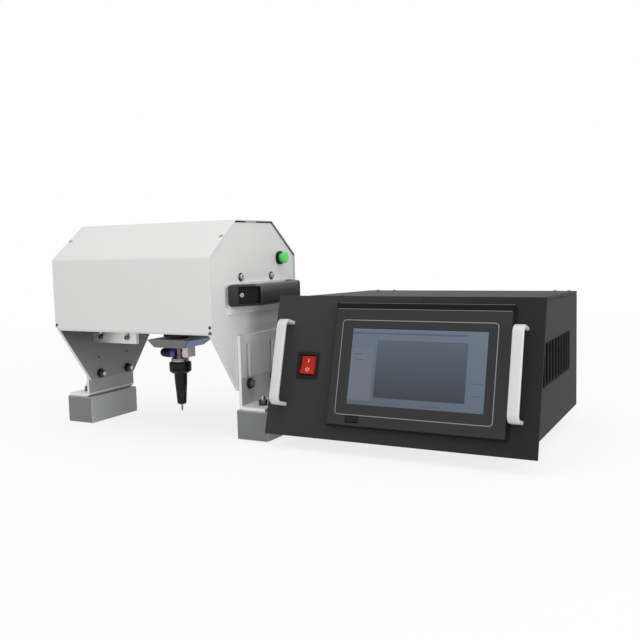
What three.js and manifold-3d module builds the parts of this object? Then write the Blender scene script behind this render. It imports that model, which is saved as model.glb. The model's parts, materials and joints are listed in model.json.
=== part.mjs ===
// Nameplate marking machine: a marking head on two legs, and its control box beside it.
// Lengths are in millimetres, +Z is up. Until the last lines, x is measured from the middle of the
// head, y from the front of its hood and z from the table.
import * as THREE from 'three';
import { mergeVertices } from 'three/addons/utils/BufferGeometryUtils.js';
import Module from 'manifold-3d';

const wasm = await Module();
wasm.setup();

// Gaps and cutting
const touch = 0.3;      // gap between two pieces that rest on each other
const running = 0.5;    // gap round a piece that slides or turns
const overrun = 2;      // how far a cutting solid runs past the face that it cuts

// Hood, a bent sheet: flat walls, then slopes up to a flat ridge
const hood = {
  width: 258, depth: 206, bottom: 138.5, wall: 95.2, slopeRise: 45.4, slopeDepth: 59.3,
  sheet: 1.5, foldRadius: 4, lip: 9,
};

// Side plates, tapered below the hood down to the legs
const plate = {
  overhang: 1.5, thickness: 5, gap: 0.8, drop: 76.1, lowFront: 46.2, lowRear: 42.2,
  padHeight: 38.9, padInset: 7, padThickness: 4, padRise: 41.8,
};

// Cross beams between the side plates
const crossBeam = { side: 20, frontY: 64, rearY: 138.5, rise: 70 };

// Grab handles on the side plates
const handle = {
  length: 156, gripLength: 96, reach: 32, thickness: 11, height: 27, offset: 6, rise: 46.5, edge: 2.5,
};

// Start button on the right side plate
const button = {
  fromRear: 42, rise: 90.4, rimRadius: 9, rimReach: 4, rimEdge: 0.6, collarRadius: 6.9, stemRadius: 6.1,
  capRadius: 7.8, capReach: 12, capLength: 4, capEdge: 0.6, travel: 3,
};

// Legs: a slotted bracket on each side plate, standing on a foot block
const legMiddle = 101.8;
const foot = { inset: 4, width: 45.7, length: 96.2, height: 37.7, edge: 1.5 };
const bracket = {
  thickness: 4, length: 93.6, topDrop: 5.5, flange: 38, bendRadius: 6, slotWidth: 7, slotBelow: 3.9,
  travel: 48,
};
const legBolt = {
  spacing: 57.3, rise: 7.4, shankRadius: 3, washerRadius: 7, washer: 1.6, headRadius: 5.8, head: 4.2, nut: 5,
};

// Front-to-back drive on two guide rods at the left
const rod = { radius: 5, rise: 7.5, outerX: 17.2, innerX: 64.2 };
const rodPlate = {
  width: 80.2, frontY: 61, frontDepth: 5, rearDepth: 5, above: 11, below: 30, rearBelow: 16,
  slotWidth: 7, slotDrop: 10, slotHeight: 16,
};
const yScrew = { radius: 4, offset: 40.7, seat: 1 };
const yMotor = { side: 35, length: 18, edge: 3, clear: 1.7 };
const slideBlock = { inset: 3.2, width: 75, front: 84, depth: 28, height: 22 };
const supportRail = { width: 12, height: 12, front: 30, length: 150 };

// Side-to-side drive: the beam rides on the slide block and on the support rail
const beam = { endGap: 3.5, front: 89, depth: 18, height: 14 };
const beamMount = { leftThickness: 4, rightThickness: 6, rightInset: 7, seat: 14 };
const xMotor = { side: 28, length: 28, edge: 2.5, behind: 6, lift: 3.3 };
const xScrew = { radius: 4 };
const carriage = {
  width: 40, roof: 6.4, frontWall: 10.7, rearWall: 3.7, rearLap: 11.3, nutWidth: 20, nutWall: 4,
};
const arm = { width: 28, height: 10, front: 15, drop: 27.3 };

// Tray under the carriage: a closed carrier with sloped sides, and a thin plate on its right side
const tray = {
  width: 46.1, offset: 22.2, depth: 46, front: 25, height: 10.7, below: 2, floor: 1.5,
  flareLeft: 6.3, flareRight: 12.5, flareFront: 6, flareRear: 9,
};
const guard = { thickness: 1, inset: 3 };

// Marking pen, from its stem down to the pin's tip
const pen = {
  x: 36.5, y: 55, stemRadius: 4.5, stemLength: 16, neckRadius: 11.5, neckHeight: 4.4,
  collarWall: 5.6, collarHeight: 14.7, collarChamfer: 3, edge: 1.5, bodyLength: 56.4, tipRadius: 5,
  lowRadius: 6, midRadius: 8, midRise: 28.1, topRadius: 8.6, boreRadius: 5.6, noseLength: 10.1,
};
const pin = { radius: 1.3, exposed: 9.7, cone: 3, pointRadius: 0.4, headLift: 11.7, headHeight: 7 };
const spring = { wire: 0.45, gap: 1.4, turns: 5 };

// Manifold block on a short pipe beside the stem, and the air fitting on the other side
const manifold = { width: 9.2, depth: 16, height: 13.5, apart: 5.3, pipeRadius: 3 };
const fitting = {
  rise: 6.5, ringRadius: 6.4, ringLength: 12.5, ringEdge: 0.5, elbowRadius: 6, elbowLength: 13.5,
  branchRadius: 4.6, branchLength: 14, branchWall: 1.6,
};

// Sockets on the rear of the hood
const cable = {
  flange: 26, flangeThickness: 2, barrelRadius: 9.5, barrelLength: 12, wall: 2.5, bore: 9, tail: 12,
};
const headSocket = { x: -60, rise: 66.5 };
const airInlet = {
  x: -15, rise: 66.5, hexRadius: 8.5, hexLength: 7, ringRadius: 6, ringLength: 8, bore: 3, boreDepth: 12,
  tail: 8,
};

// Control box: a sheet case behind a leaning front plate
const box = {
  apart: 8.9, front: 33.1, plateThickness: 3, leanDegrees: 15.7, ear: 14.1, plateDrop: 2.2, topInset: 8.8,
  depth: 296.9, sheet: 1.5, lidFlange: 4, lidRise: 7.8,
};
const boxFoot = { height: 19.1, radius: 10, tipRadius: 8.5, insetX: 30, insetFront: 82, insetRear: 30 };
const vent = { count: 10, pitch: 16.5, width: 10, rise: 56.6, height: 51, fromRear: 130 };

// Screen housing, screen and small flap, measured on the front plate
const screen = {
  left: 84.5, width: 214, rightMargin: 31.4, bottom: 16.5, height: 146, topMargin: 9.7, reach: 7, chamfer: 2,
  bodyInset: 8, bodyDepth: 34, glassLeft: 25.3, glassRight: 27.2, glassBelow: 26.6, glassAbove: 30.6,
  glass: 1.2, glassSink: 0.5, topSlope: 7,
};
const flap = { width: 16, lift: 4.4, height: 7.3, thickness: 1.2, pocket: 6, hingeGap: 1.2 };

// Rocker switch, its top half pressed in
const rocker = {
  middle: 50.5, lip: 1.4, frameReach: 2, holeWidth: 20.4, holeHeight: 24.6, bodyDepth: 16, wall: 2,
  clear: 1.1, crown: 2.4, valley: 0.9, pivotDepth: 2.5, tiltDegrees: 9,
};

// Grab handles of the control box, each a flat bar bent twice
const grab = {
  leftMiddle: 20, rightGap: 8.3, bottom: 35.3, height: 104.7, reach: 23.3, width: 12.4, thickness: 4.5,
  foldRadius: 10, edge: 1,
};

// Inside the control box
const power = { insetX: 21.8, width: 84, fromRear: 130, depth: 100, height: 38, edge: 2 };
const board = {
  insetX: 43.9, width: 120, fromRear: 140, depth: 100, thickness: 1.6, standoff: 8, standoffRadius: 3,
  inset: 8, sinkWidth: 30, sinkHeight: 26, chipWidth: 30, chipDepth: 15, chipHeight: 12,
};
const fan = {
  insetX: 93.9, rise: 88.6, radius: 34, hubRadius: 14, depth: 12, blades: 7, bladeThickness: 2, bossRadius: 4,
  bossLength: 24, gap: 8, slots: 7, slotWidth: 5, slotPitch: 9.5, slotHeight: 62,
};

// Sockets on the rear of the control box
const inlet = {
  insetX: 47.8, rise: 40.6, width: 48, height: 28, reach: 3, mouthWidth: 24, mouthHeight: 16, mouthDepth: 14,
  wall: 3, prongWidth: 2, prongHeight: 4, prongLength: 9, prongSpacing: 7, prongRise: 3,
};
const boxSocket = { insetX: 117.8, rise: 40.6 };

// Head: values that follow from the sizes above
const shoulder = hood.bottom + hood.wall;
const ridge = shoulder + hood.slopeRise;
const plateOuter = hood.width / 2 - plate.overhang;
const plateInner = plateOuter - plate.thickness;
const plateBottom = hood.bottom - plate.drop;
const padFace = plateOuter + plate.padThickness;
const padHalf = handle.length / 2 - plate.padInset;
const sideMiddle = hood.depth / 2 + handle.offset;
const buttonY = hood.depth - button.fromRear;
const buttonZ = hood.bottom + button.rise;
const boltZ = plateBottom + legBolt.rise;
const boltPlaces = [legMiddle - legBolt.spacing / 2, legMiddle + legBolt.spacing / 2];
const footInner = plateOuter - foot.inset;
const footOuter = footInner + foot.width;
const driveLeft = touch - plateInner;
const rodZ = hood.bottom + rod.rise;
const rodPlaces = [driveLeft + rod.outerX, driveLeft + rod.innerX];
const yScrewX = driveLeft + yScrew.offset;
const yMotorFront = hood.depth - hood.lip - yMotor.clear - yMotor.length;
const rodPlateRear = yMotorFront - touch;
const slideTop = rodZ + slideBlock.height / 2;
const beamHalf = plateInner - beam.endGap;
const beamBottom = slideTop + touch;
const beamTop = beamBottom + beam.height;
const beamRear = beam.front + beam.depth;
const xMotorLeft = touch - beamHalf;
const xScrewY = beamRear + xMotor.behind + xMotor.side / 2;
const xScrewZ = beamTop - xMotor.lift + xMotor.side / 2;
const mountLeft = xMotorLeft + xMotor.length + touch;
const mountRight = beamHalf - beamMount.rightInset - beamMount.rightThickness;
const armBottom = beamBottom - arm.drop;
const trayTop = armBottom - tray.below;
const trayBottom = trayTop - tray.height;
const stemTop = trayBottom - touch;
const neckTop = stemTop - pen.stemLength;
const neckBottom = neckTop - pen.neckHeight;
const bodyTop = neckBottom - touch;
const collarBottom = bodyTop - pen.collarHeight;
const collarBore = pen.topRadius + touch;
const bodyBottom = bodyTop - pen.bodyLength;
const boreFloor = bodyBottom + pen.noseLength;
const pinBore = pin.radius + touch;
const fittingZ = neckTop + fitting.rise;

// Control box: values that follow from the sizes above
const lean = THREE.MathUtils.degToRad(box.leanDegrees);
const boxBottom = boxFoot.height + touch;
const frontLeft = footOuter + box.apart;
const frontBottom = boxBottom - box.plateDrop;
const frontWidth = screen.left + screen.width + screen.rightMargin;
const frontHeight = screen.bottom + screen.height + screen.topMargin;
const boxTop = frontBottom + frontHeight * Math.cos(lean) - box.topInset;
const boxLeft = frontLeft + box.ear;
const boxRight = frontLeft + frontWidth - box.ear;
const boxWidth = boxRight - boxLeft;
const boxRear = box.front + box.depth;
const boxFloor = boxBottom + box.sheet + touch;
const frontDepth = (box.plateThickness + touch) / Math.cos(lean);
const caseFront = z => box.front + (z - frontBottom) * Math.tan(lean) + frontDepth;
const lidSlope = box.lidRise / box.depth;
const lidAt = (y, drop) => boxTop + lidSlope * (boxRear - y) - drop;
const lidFront = drop => lidAt(caseFront(0), drop) / (1 + lidSlope * Math.tan(lean));
const rockerWidth = rocker.holeWidth + 2 * rocker.wall;
const rockerHeight = rocker.holeHeight + 2 * rocker.wall;

// Colours and finishes
const finishes = {
  whitePaint: { color: 0xe6e6e6, roughness: 0.45, metalness: 0.05 },
  greyPaint: { color: 0xd2d3d4, roughness: 0.5, metalness: 0.05 },
  footGrey: { color: 0x8f9091, roughness: 0.5, metalness: 0.3 },
  bracketGrey: { color: 0xb4b6b8, roughness: 0.42, metalness: 0.35 },
  blackPlastic: { color: 0x26272a, roughness: 0.5, metalness: 0 },
  greenPlastic: { color: 0x35c95a, roughness: 0.35, metalness: 0 },
  steel: { color: 0xb9bcc0, roughness: 0.28, metalness: 0.95 },
  aluminium: { color: 0xcfd1d3, roughness: 0.4, metalness: 0.85 },
  trayGrey: { color: 0x8b8c8a, roughness: 0.55, metalness: 0.3 },
  bluePlate: { color: 0x4d78ad, roughness: 0.4, metalness: 0.2 },
  blueRing: { color: 0x33268c, roughness: 0.35, metalness: 0 },
  brass: { color: 0xa08a78, roughness: 0.4, metalness: 0.8 },
  blockWhite: { color: 0xcfcbd0, roughness: 0.5, metalness: 0.1 },
  caseBlack: { color: 0x33343a, roughness: 0.6, metalness: 0.2 },
  screenGlass: { color: 0x5c6d84, roughness: 0.15, metalness: 0 },
  redPlastic: { color: 0xd93a12, roughness: 0.3, metalness: 0 },
  motorBlack: { color: 0x2c2d30, roughness: 0.55, metalness: 0.4 },
  boardGreen: { color: 0x1f5b3a, roughness: 0.5, metalness: 0.1 },
  rubber: { color: 0x1d1d1e, roughness: 0.85, metalness: 0 },
};

// Turns a geometry into a solid: merges its corners, drops slivers of no area and points its faces outward
function solid(geometry) {
  const bare = geometry.clone();
  bare.deleteAttribute('normal');
  bare.deleteAttribute('uv');
  const merged = mergeVertices(bare);
  const points = merged.attributes.position.array;
  const corners = merged.index.array;
  const kept = [];
  let volume = 0;
  const a = new THREE.Vector3();
  const b = new THREE.Vector3();
  const c = new THREE.Vector3();
  for (let i = 0; i < corners.length; i += 3) {
    const [p, q, r] = [corners[i], corners[i + 1], corners[i + 2]];
    if (p === q || q === r || r === p) continue;
    kept.push([p, q, r]);
    a.fromArray(points, 3 * p);
    b.fromArray(points, 3 * q);
    c.fromArray(points, 3 * r);
    volume += a.dot(b.cross(c));
  }
  const triangles = kept.flatMap(([p, q, r]) => (volume < 0 ? [p, r, q] : [p, q, r]));
  return new wasm.Manifold(new wasm.Mesh({
    numProp: 3,
    vertProperties: Float32Array.from(points),
    triVerts: Uint32Array.from(triangles),
  }));
}

// Moves a solid
const moved = (body, x, y, z) => body.translate([x, y, z]);

// Joins solids into one, and cuts solids out of one
const joined = (...bodies) => bodies.flat().reduce((sum, body) => sum.add(body));
const cut = (body, ...tools) => tools.flat().reduce((rest, tool) => rest.subtract(tool), body);

// A block from its lowest corner and its size
function block([x, y, z], [width, depth, height]) {
  const geometry = new THREE.BoxGeometry(width, depth, height);
  geometry.translate(x + width / 2, y + depth / 2, z + height / 2);
  return solid(geometry);
}

// A flat outline as a shape
function shapeOf(points) {
  return new THREE.Shape(points.map(([u, v]) => new THREE.Vector2(u, v)));
}

// An outline carried along X, Y or Z from start over length, drawn in the other two axes, in their order
function extruded(points, axis, start, length, edge = 0) {
  const settings = {
    depth: length - 2 * edge, bevelEnabled: edge > 0, bevelThickness: edge, bevelSize: edge,
    bevelOffset: -edge, bevelSegments: 2, curveSegments: 2,
  };
  const shape = points instanceof THREE.Shape ? points : shapeOf(points);
  const geometry = new THREE.ExtrudeGeometry(shape, settings);
  geometry.translate(0, 0, edge);
  const turn = new THREE.Matrix4();
  const [right, forward, up] = [[1, 0, 0], [0, 1, 0], [0, 0, 1]].map(v => new THREE.Vector3(...v));
  if (axis === 'x') turn.makeBasis(forward, up, right);
  if (axis === 'y') turn.makeBasis(right, up, forward);
  geometry.applyMatrix4(turn);
  geometry.translate(axis === 'x' ? start : 0, axis === 'y' ? start : 0, axis === 'z' ? start : 0);
  return solid(geometry);
}

// A turned piece from its outline of radius and height, on an axis along X, Y or Z
function turned(points, axis, [x, y, z], segments = 28) {
  const profile = points.map(([radius, height]) => new THREE.Vector2(radius, height));
  const geometry = new THREE.LatheGeometry(profile, segments);
  if (axis === 'z') geometry.rotateX(Math.PI / 2);
  if (axis === 'x') geometry.rotateZ(-Math.PI / 2);
  geometry.translate(x, y, z);
  return solid(geometry);
}

// A plain round rod from a point along an axis
function rodAlong(axis, start, radius, length, segments = 24) {
  return turned([[0, 0], [radius, 0], [radius, length], [0, length]], axis, start, segments);
}

// A round cutter through a wall that starts at a point and has the given thickness
function hole(axis, [x, y, z], radius, thickness) {
  const start = { x: [x - overrun, y, z], y: [x, y - overrun, z] }[axis];
  return rodAlong(axis, start, radius, thickness + 2 * overrun);
}

// An upright slot cutter with round ends, its middle line at place, through a wall along X or Y
function slot(axis, place, bottom, top, width, start, thickness) {
  const radius = width / 2;
  const shape = new THREE.Shape();
  shape.absarc(place, bottom + radius, radius, Math.PI, 2 * Math.PI);
  shape.absarc(place, top - radius, radius, 0, Math.PI);
  return extruded(shape, axis, start - overrun, thickness + 2 * overrun);
}

// A block with eight given corners: four below and four above, each anticlockwise seen from above
function hexahedron(lower, upper) {
  const geometry = new THREE.BufferGeometry();
  geometry.setAttribute('position', new THREE.Float32BufferAttribute([...lower, ...upper].flat(), 3));
  const sides = [0, 1, 2, 3].flatMap(i => {
    const next = (i + 1) % 4;
    return [i, next, next + 4, i, next + 4, i + 4];
  });
  geometry.setIndex([0, 2, 1, 0, 3, 2, 4, 5, 6, 4, 6, 7, ...sides]);
  return solid(geometry);
}

// Four corners of a level rectangle, anticlockwise seen from above
function rectangle(left, front, right, rear, z) {
  return [[left, front, z], [right, front, z], [right, rear, z], [left, rear, z]];
}

// A round-cornered rectangle
function roundedRectangle(left, bottom, width, height, radius) {
  const shape = new THREE.Shape();
  shape.moveTo(left + radius, bottom);
  shape.lineTo(left + width - radius, bottom);
  shape.absarc(left + width - radius, bottom + radius, radius, -Math.PI / 2, 0);
  shape.absarc(left + width - radius, bottom + height - radius, radius, 0, Math.PI / 2);
  shape.absarc(left + radius, bottom + height - radius, radius, Math.PI / 2, Math.PI);
  shape.absarc(left + radius, bottom + radius, radius, Math.PI, 1.5 * Math.PI);
  return shape;
}

// Outline of a sheet bent along a path: the path is its outer face, every bend turns the same way,
// and the sheet lies on the path's left when side is 1 and on its right when side is -1
function bentSheet(path, radius, sheet, side) {
  const steps = 4;
  const outer = [];
  const inner = [];
  const last = path.length - 1;
  const direction = i => {
    const [dx, dy] = [path[i + 1][0] - path[i][0], path[i + 1][1] - path[i][1]];
    const size = Math.hypot(dx, dy);
    return [dx / size, dy / size];
  };
  const inward = ([dx, dy]) => [-dy * side, dx * side];
  const add = ([x, y], [nx, ny], near, far) => {
    outer.push([x + nx * near, y + ny * near]);
    inner.push([x + nx * far, y + ny * far]);
  };
  add(path[0], inward(direction(0)), 0, sheet);
  for (let i = 1; i < last; i += 1) {
    const [before, after] = [direction(i - 1), direction(i)];
    const turn = Math.acos(before[0] * after[0] + before[1] * after[1]);
    const back = radius * Math.tan(turn / 2);
    const [nx, ny] = inward(before);
    const centre = [path[i][0] - before[0] * back + nx * radius, path[i][1] - before[1] * back + ny * radius];
    for (let k = 0; k <= steps; k += 1) {
      const angle = (turn * k / steps) * side;
      const [cos, sin] = [Math.cos(angle), Math.sin(angle)];
      const outward = [ny * sin - nx * cos, -nx * sin - ny * cos];
      add(centre, outward, radius, radius - sheet);
    }
  }
  add(path[last], inward(direction(last - 1)), 0, sheet);
  return [...outer, ...inner.reverse()];
}

// Every mesh goes into a group under its node's name
function piece(group, name, body, finish) {
  const raw = body.getMesh();
  const geometry = new THREE.BufferGeometry();
  geometry.setAttribute('position', new THREE.BufferAttribute(Float32Array.from(raw.vertProperties), 3));
  geometry.setIndex(new THREE.BufferAttribute(Uint32Array.from(raw.triVerts), 1));
  geometry.computeVertexNormals();
  const mesh = new THREE.Mesh(geometry, new THREE.MeshStandardMaterial(finishes[finish]));
  mesh.name = name;
  group.add(mesh);
  return mesh;
}

// The head's two sides: 1 is the right one, -1 the left one
const sides = [{ word: 'left', sign: -1 }, { word: 'right', sign: 1 }];

// A solid made for the right side, mirrored for the left
const onSide = (body, sign) => (sign > 0 ? body : body.mirror([1, 0, 0]));

// Hood: one sheet with five flats and a lip at its lower edges, cut short beside the side plates
function makeHood(group) {
  const { depth, bottom, lip, sheet } = hood;
  const path = [[lip, bottom], [0, bottom], [0, shoulder], [hood.slopeDepth, ridge],
    [depth - hood.slopeDepth, ridge], [depth, shoulder], [depth, bottom], [depth - lip, bottom]];
  const bent = extruded(bentSheet(path, hood.foldRadius, sheet, -1), 'x', -hood.width / 2, hood.width);
  const notchSize = [plateOuter, lip + overrun, sheet + 2 * overrun];
  const notches = [sheet, depth - sheet - notchSize[1]].flatMap(y => {
    const notch = block([plateInner - touch, y, bottom - overrun], notchSize);
    return [notch, onSide(notch, -1)];
  });
  const holes = [
    hole('y', [headSocket.x, depth, hood.bottom + headSocket.rise], cable.barrelRadius + touch, sheet),
    hole('y', [airInlet.x, depth, hood.bottom + airInlet.rise], airInlet.ringRadius, sheet),
  ].map(tool => moved(tool, 0, -sheet, 0));
  piece(group, 'hood', cut(bent, notches, holes), 'whitePaint');
}

// Outline of a side plate: the hood's inside on top, tapered to the leg below
function plateOutline() {
  const inset = hood.sheet + plate.gap;
  const slope = Math.atan2(hood.slopeRise, hood.slopeDepth);
  const drop = inset * Math.tan((Math.PI / 2 - slope) / 2);
  const back = inset * Math.tan(slope / 2);
  const rear = hood.depth - inset;
  return [[legMiddle - plate.lowFront, plateBottom], [legMiddle + plate.lowRear, plateBottom],
    [rear, hood.bottom], [rear, shoulder - drop], [hood.depth - hood.slopeDepth - back, ridge - inset],
    [hood.slopeDepth + back, ridge - inset], [inset, shoulder - drop], [inset, hood.bottom]];
}

// Side plates, each with the raised pad behind its handle and holes for its leg bolts
function makeSidePlates(group) {
  for (const { word, sign } of sides) {
    const sheet = extruded(plateOutline(), 'x', plateInner, plate.thickness);
    const pad = block([plateOuter - touch, sideMiddle - padHalf,
      hood.bottom + plate.padRise - plate.padHeight / 2],
    [plate.padThickness + touch, 2 * padHalf, plate.padHeight]);
    const boltHole = legBolt.shankRadius + touch;
    const holes = boltPlaces.map(y => hole('x', [plateInner, y, boltZ], boltHole, plate.thickness));
    if (sign > 0) {
      holes.push(hole('x', [plateInner, buttonY, buttonZ], button.collarRadius + touch, plate.thickness));
    }
    piece(group, `side_plate_${word}`, onSide(cut(joined(sheet, pad), holes), sign), 'greyPaint');
  }
}

// Cross beams
function makeCrossBeams(group) {
  const half = plateInner - touch;
  for (const [word, y] of [['front', crossBeam.frontY], ['rear', crossBeam.rearY]]) {
    const corner = [-half, y - crossBeam.side / 2, hood.bottom + crossBeam.rise - crossBeam.side / 2];
    const bar = block(corner, [2 * half, crossBeam.side, crossBeam.side]);
    piece(group, `cross_beam_${word}`, bar, 'aluminium');
  }
}

// Grab handles of the head: a bridge with sloped feet, standing on the pads
function makeHandles(group) {
  const base = padFace + touch;
  const outer = base + handle.reach;
  const inner = outer - handle.thickness;
  const half = handle.length / 2;
  const grip = handle.gripLength / 2;
  const run = half - grip;
  const footInside = half - handle.thickness * Math.hypot(run, handle.reach) / handle.reach;
  const gripInside = footInside - run * (handle.reach - handle.thickness) / handle.reach;
  const outline = [[base, -half], [outer, -grip], [outer, grip], [base, half], [base, footInside],
    [inner, gripInside], [inner, -gripInside], [base, -footInside]].map(([x, y]) => [x, y + sideMiddle]);
  const bottom = hood.bottom + handle.rise - handle.height / 2;
  for (const { word, sign } of sides) {
    const bridge = extruded(outline, 'z', bottom, handle.height, handle.edge);
    piece(group, `handle_${word}`, onSide(bridge, sign), 'blackPlastic');
  }
}

// Start button: a rim with a collar through the right side plate, and the cap that travels in it
function makeButton(group) {
  const face = plateOuter + touch;
  const rim = face + button.rimReach;
  const back = plateInner - overrun;
  const bore = button.stemRadius + touch;
  const at = [0, buttonY, buttonZ];
  const { collarRadius, rimRadius, rimEdge, stemRadius, capRadius, capEdge } = button;
  piece(group, 'start_button_ring', turned([[bore, back], [collarRadius, back], [collarRadius, face],
    [rimRadius, face], [rimRadius, rim - rimEdge], [rimRadius - rimEdge, rim], [bore, rim], [bore, back]],
  'x', at), 'blackPlastic');
  const stemStart = back + button.travel;
  const capEnd = plateOuter + button.capReach;
  const capStart = capEnd - button.capLength;
  piece(group, 'start_button_cap', turned([[0, stemStart], [stemRadius, stemStart], [stemRadius, capStart],
    [capRadius, capStart], [capRadius, capEnd - capEdge], [capRadius - capEdge, capEnd], [0, capEnd]],
  'x', at), 'greenPlastic');
}

// Legs: an angle bracket with two slots, its bolts, and the foot block below
function makeLegs(group) {
  const inner = plateOuter + touch;
  const bottom = foot.height + touch;
  const path = [[inner, hood.bottom - bracket.topDrop], [inner, bottom], [inner + bracket.flange, bottom]];
  const start = legMiddle - bracket.length / 2;
  const slotBottom = boltZ - bracket.slotBelow;
  const slotTop = boltZ + bracket.travel + bracket.slotBelow;
  for (const { word, sign } of sides) {
    const section = bentSheet(path, bracket.bendRadius, bracket.thickness, 1);
    const angle = extruded(section, 'y', start, bracket.length);
    const slots = boltPlaces.map(y => slot('x', y, slotBottom, slotTop, bracket.slotWidth, inner,
      bracket.thickness));
    piece(group, `leg_bracket_${word}`, onSide(cut(angle, slots), sign), 'bracketGrey');
    const footSection = [[footInner, 0], [footOuter, 0], [footOuter, foot.height], [footInner, foot.height]];
    const footBody = extruded(footSection, 'y', legMiddle - foot.length / 2, foot.length, foot.edge);
    piece(group, `foot_block_${word}`, onSide(footBody, sign), 'footGrey');
    for (const [i, place] of ['front', 'rear'].entries()) {
      piece(group, `leg_bolt_${word}_${place}`, onSide(legBoltAt(boltPlaces[i]), sign), 'steel');
    }
  }
}

// One leg bolt along X with its head outside, its nut inside and a washer under each
function legBoltAt(y) {
  const nutEnd = plateInner - touch - legBolt.washer;
  const nutStart = nutEnd - legBolt.nut;
  const washerStart = plateOuter + bracket.thickness + 2 * touch;
  const headStart = washerStart + legBolt.washer;
  const shankStart = nutStart - legBolt.washer;
  const rodAt = (x, radius, length, segments) => rodAlong('x', [x, y, boltZ], radius, length, segments);
  return joined(
    rodAt(shankStart, legBolt.shankRadius, headStart - shankStart, 16),
    rodAt(nutStart, legBolt.headRadius, legBolt.nut, 6),
    rodAt(nutEnd, legBolt.washerRadius, legBolt.washer, 20),
    rodAt(washerStart, legBolt.washerRadius, legBolt.washer, 20),
    rodAt(headStart, legBolt.headRadius, legBolt.head, 6),
  );
}

// Front and rear plates that hold the guide rods, the front one slotted for its screws
function makeRodPlates(group) {
  const top = rodZ + rodPlate.above;
  const bores = (y, depth) => [...rodPlaces.map(x => hole('y', [x, y, rodZ], rod.radius + touch, depth)),
    hole('y', [yScrewX, y, rodZ], yScrew.radius + touch, depth)];
  const slotTop = rodZ - rodPlate.slotDrop;
  const slots = rodPlaces.map(x => slot('y', x, slotTop - rodPlate.slotHeight, slotTop, rodPlate.slotWidth,
    rodPlate.frontY, rodPlate.frontDepth));
  const frontBody = block([driveLeft, rodPlate.frontY, rodZ - rodPlate.below],
    [rodPlate.width, rodPlate.frontDepth, rodPlate.below + rodPlate.above]);
  const frontBores = bores(rodPlate.frontY, rodPlate.frontDepth);
  piece(group, 'rod_plate_front', cut(frontBody, frontBores, slots), 'aluminium');
  const rearY = rodPlateRear - rodPlate.rearDepth;
  const rearBody = block([driveLeft, rearY, rodZ - rodPlate.rearBelow],
    [rodPlate.width, rodPlate.rearDepth, top - rodZ + rodPlate.rearBelow]);
  piece(group, 'rod_plate_rear', cut(rearBody, bores(rearY, rodPlate.rearDepth)), 'aluminium');
}

// Guide rods, drive screw and motor of the front-to-back drive
function makeYDrive(group) {
  for (const [i, word] of ['outer', 'inner'].entries()) {
    const start = rodPlate.frontY + touch;
    piece(group, `guide_rod_${word}`, rodAlong('y', [rodPlaces[i], start, rodZ], rod.radius,
      rodPlateRear - start - touch), 'steel');
  }
  const screwStart = rodPlate.frontY + yScrew.seat;
  const screw = rodAlong('y', [yScrewX, screwStart, rodZ], yScrew.radius, rodPlateRear - screwStart);
  piece(group, 'y_screw', screw, 'steel');
  const half = yMotor.side / 2;
  const outline = roundedRectangle(yScrewX - half, rodZ - half, yMotor.side, yMotor.side, yMotor.edge);
  piece(group, 'y_motor', extruded(outline, 'y', yMotorFront, yMotor.length), 'motorBlack');
}

// Slide block on the guide rods, and the rail that carries the beam's right end
function makeSlides(group) {
  const body = block([driveLeft + slideBlock.inset, slideBlock.front, slideTop - slideBlock.height],
    [slideBlock.width, slideBlock.depth, slideBlock.height]);
  const bore = (x, radius) => hole('y', [x, slideBlock.front, rodZ], radius + touch, slideBlock.depth);
  const bores = rodPlaces.map(x => bore(x, rod.radius));
  const nut = bore(yScrewX, yScrew.radius);
  piece(group, 'y_slide_block', cut(body, bores, nut), 'aluminium');
  const railLeft = plateInner - touch - supportRail.width;
  const rail = block([railLeft, supportRail.front, slideTop - supportRail.height],
    [supportRail.width, supportRail.length, supportRail.height]);
  piece(group, 'support_rail', rail, 'steel');
}

// Beam with a plate for the motor at its left and one for the screw's end at its right, and that drive
function makeBeam(group) {
  const half = xMotor.side / 2;
  const start = beamRear - beamMount.seat;
  const mount = (x, thickness) => cut(
    block([x, start, xScrewZ - half], [thickness, xScrewY + half - start, xMotor.side]),
    hole('x', [x, xScrewY, xScrewZ], xScrew.radius + touch, thickness),
  );
  const bar = block([-beamHalf, beam.front, beamBottom], [2 * beamHalf, beam.depth, beam.height]);
  const mounts = [mount(mountLeft, beamMount.leftThickness), mount(mountRight, beamMount.rightThickness)];
  piece(group, 'gantry_beam', joined(bar, mounts), 'aluminium');
  const outline = roundedRectangle(xScrewY - half, xScrewZ - half, xMotor.side, xMotor.side, xMotor.edge);
  piece(group, 'x_motor', extruded(outline, 'x', xMotorLeft, xMotor.length), 'motorBlack');
  const screwEnd = mountRight + beamMount.rightThickness;
  const screw = rodAlong('x', [mountLeft, xScrewY, xScrewZ], xScrew.radius, screwEnd - mountLeft);
  piece(group, 'x_screw', screw, 'steel');
}

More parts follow.
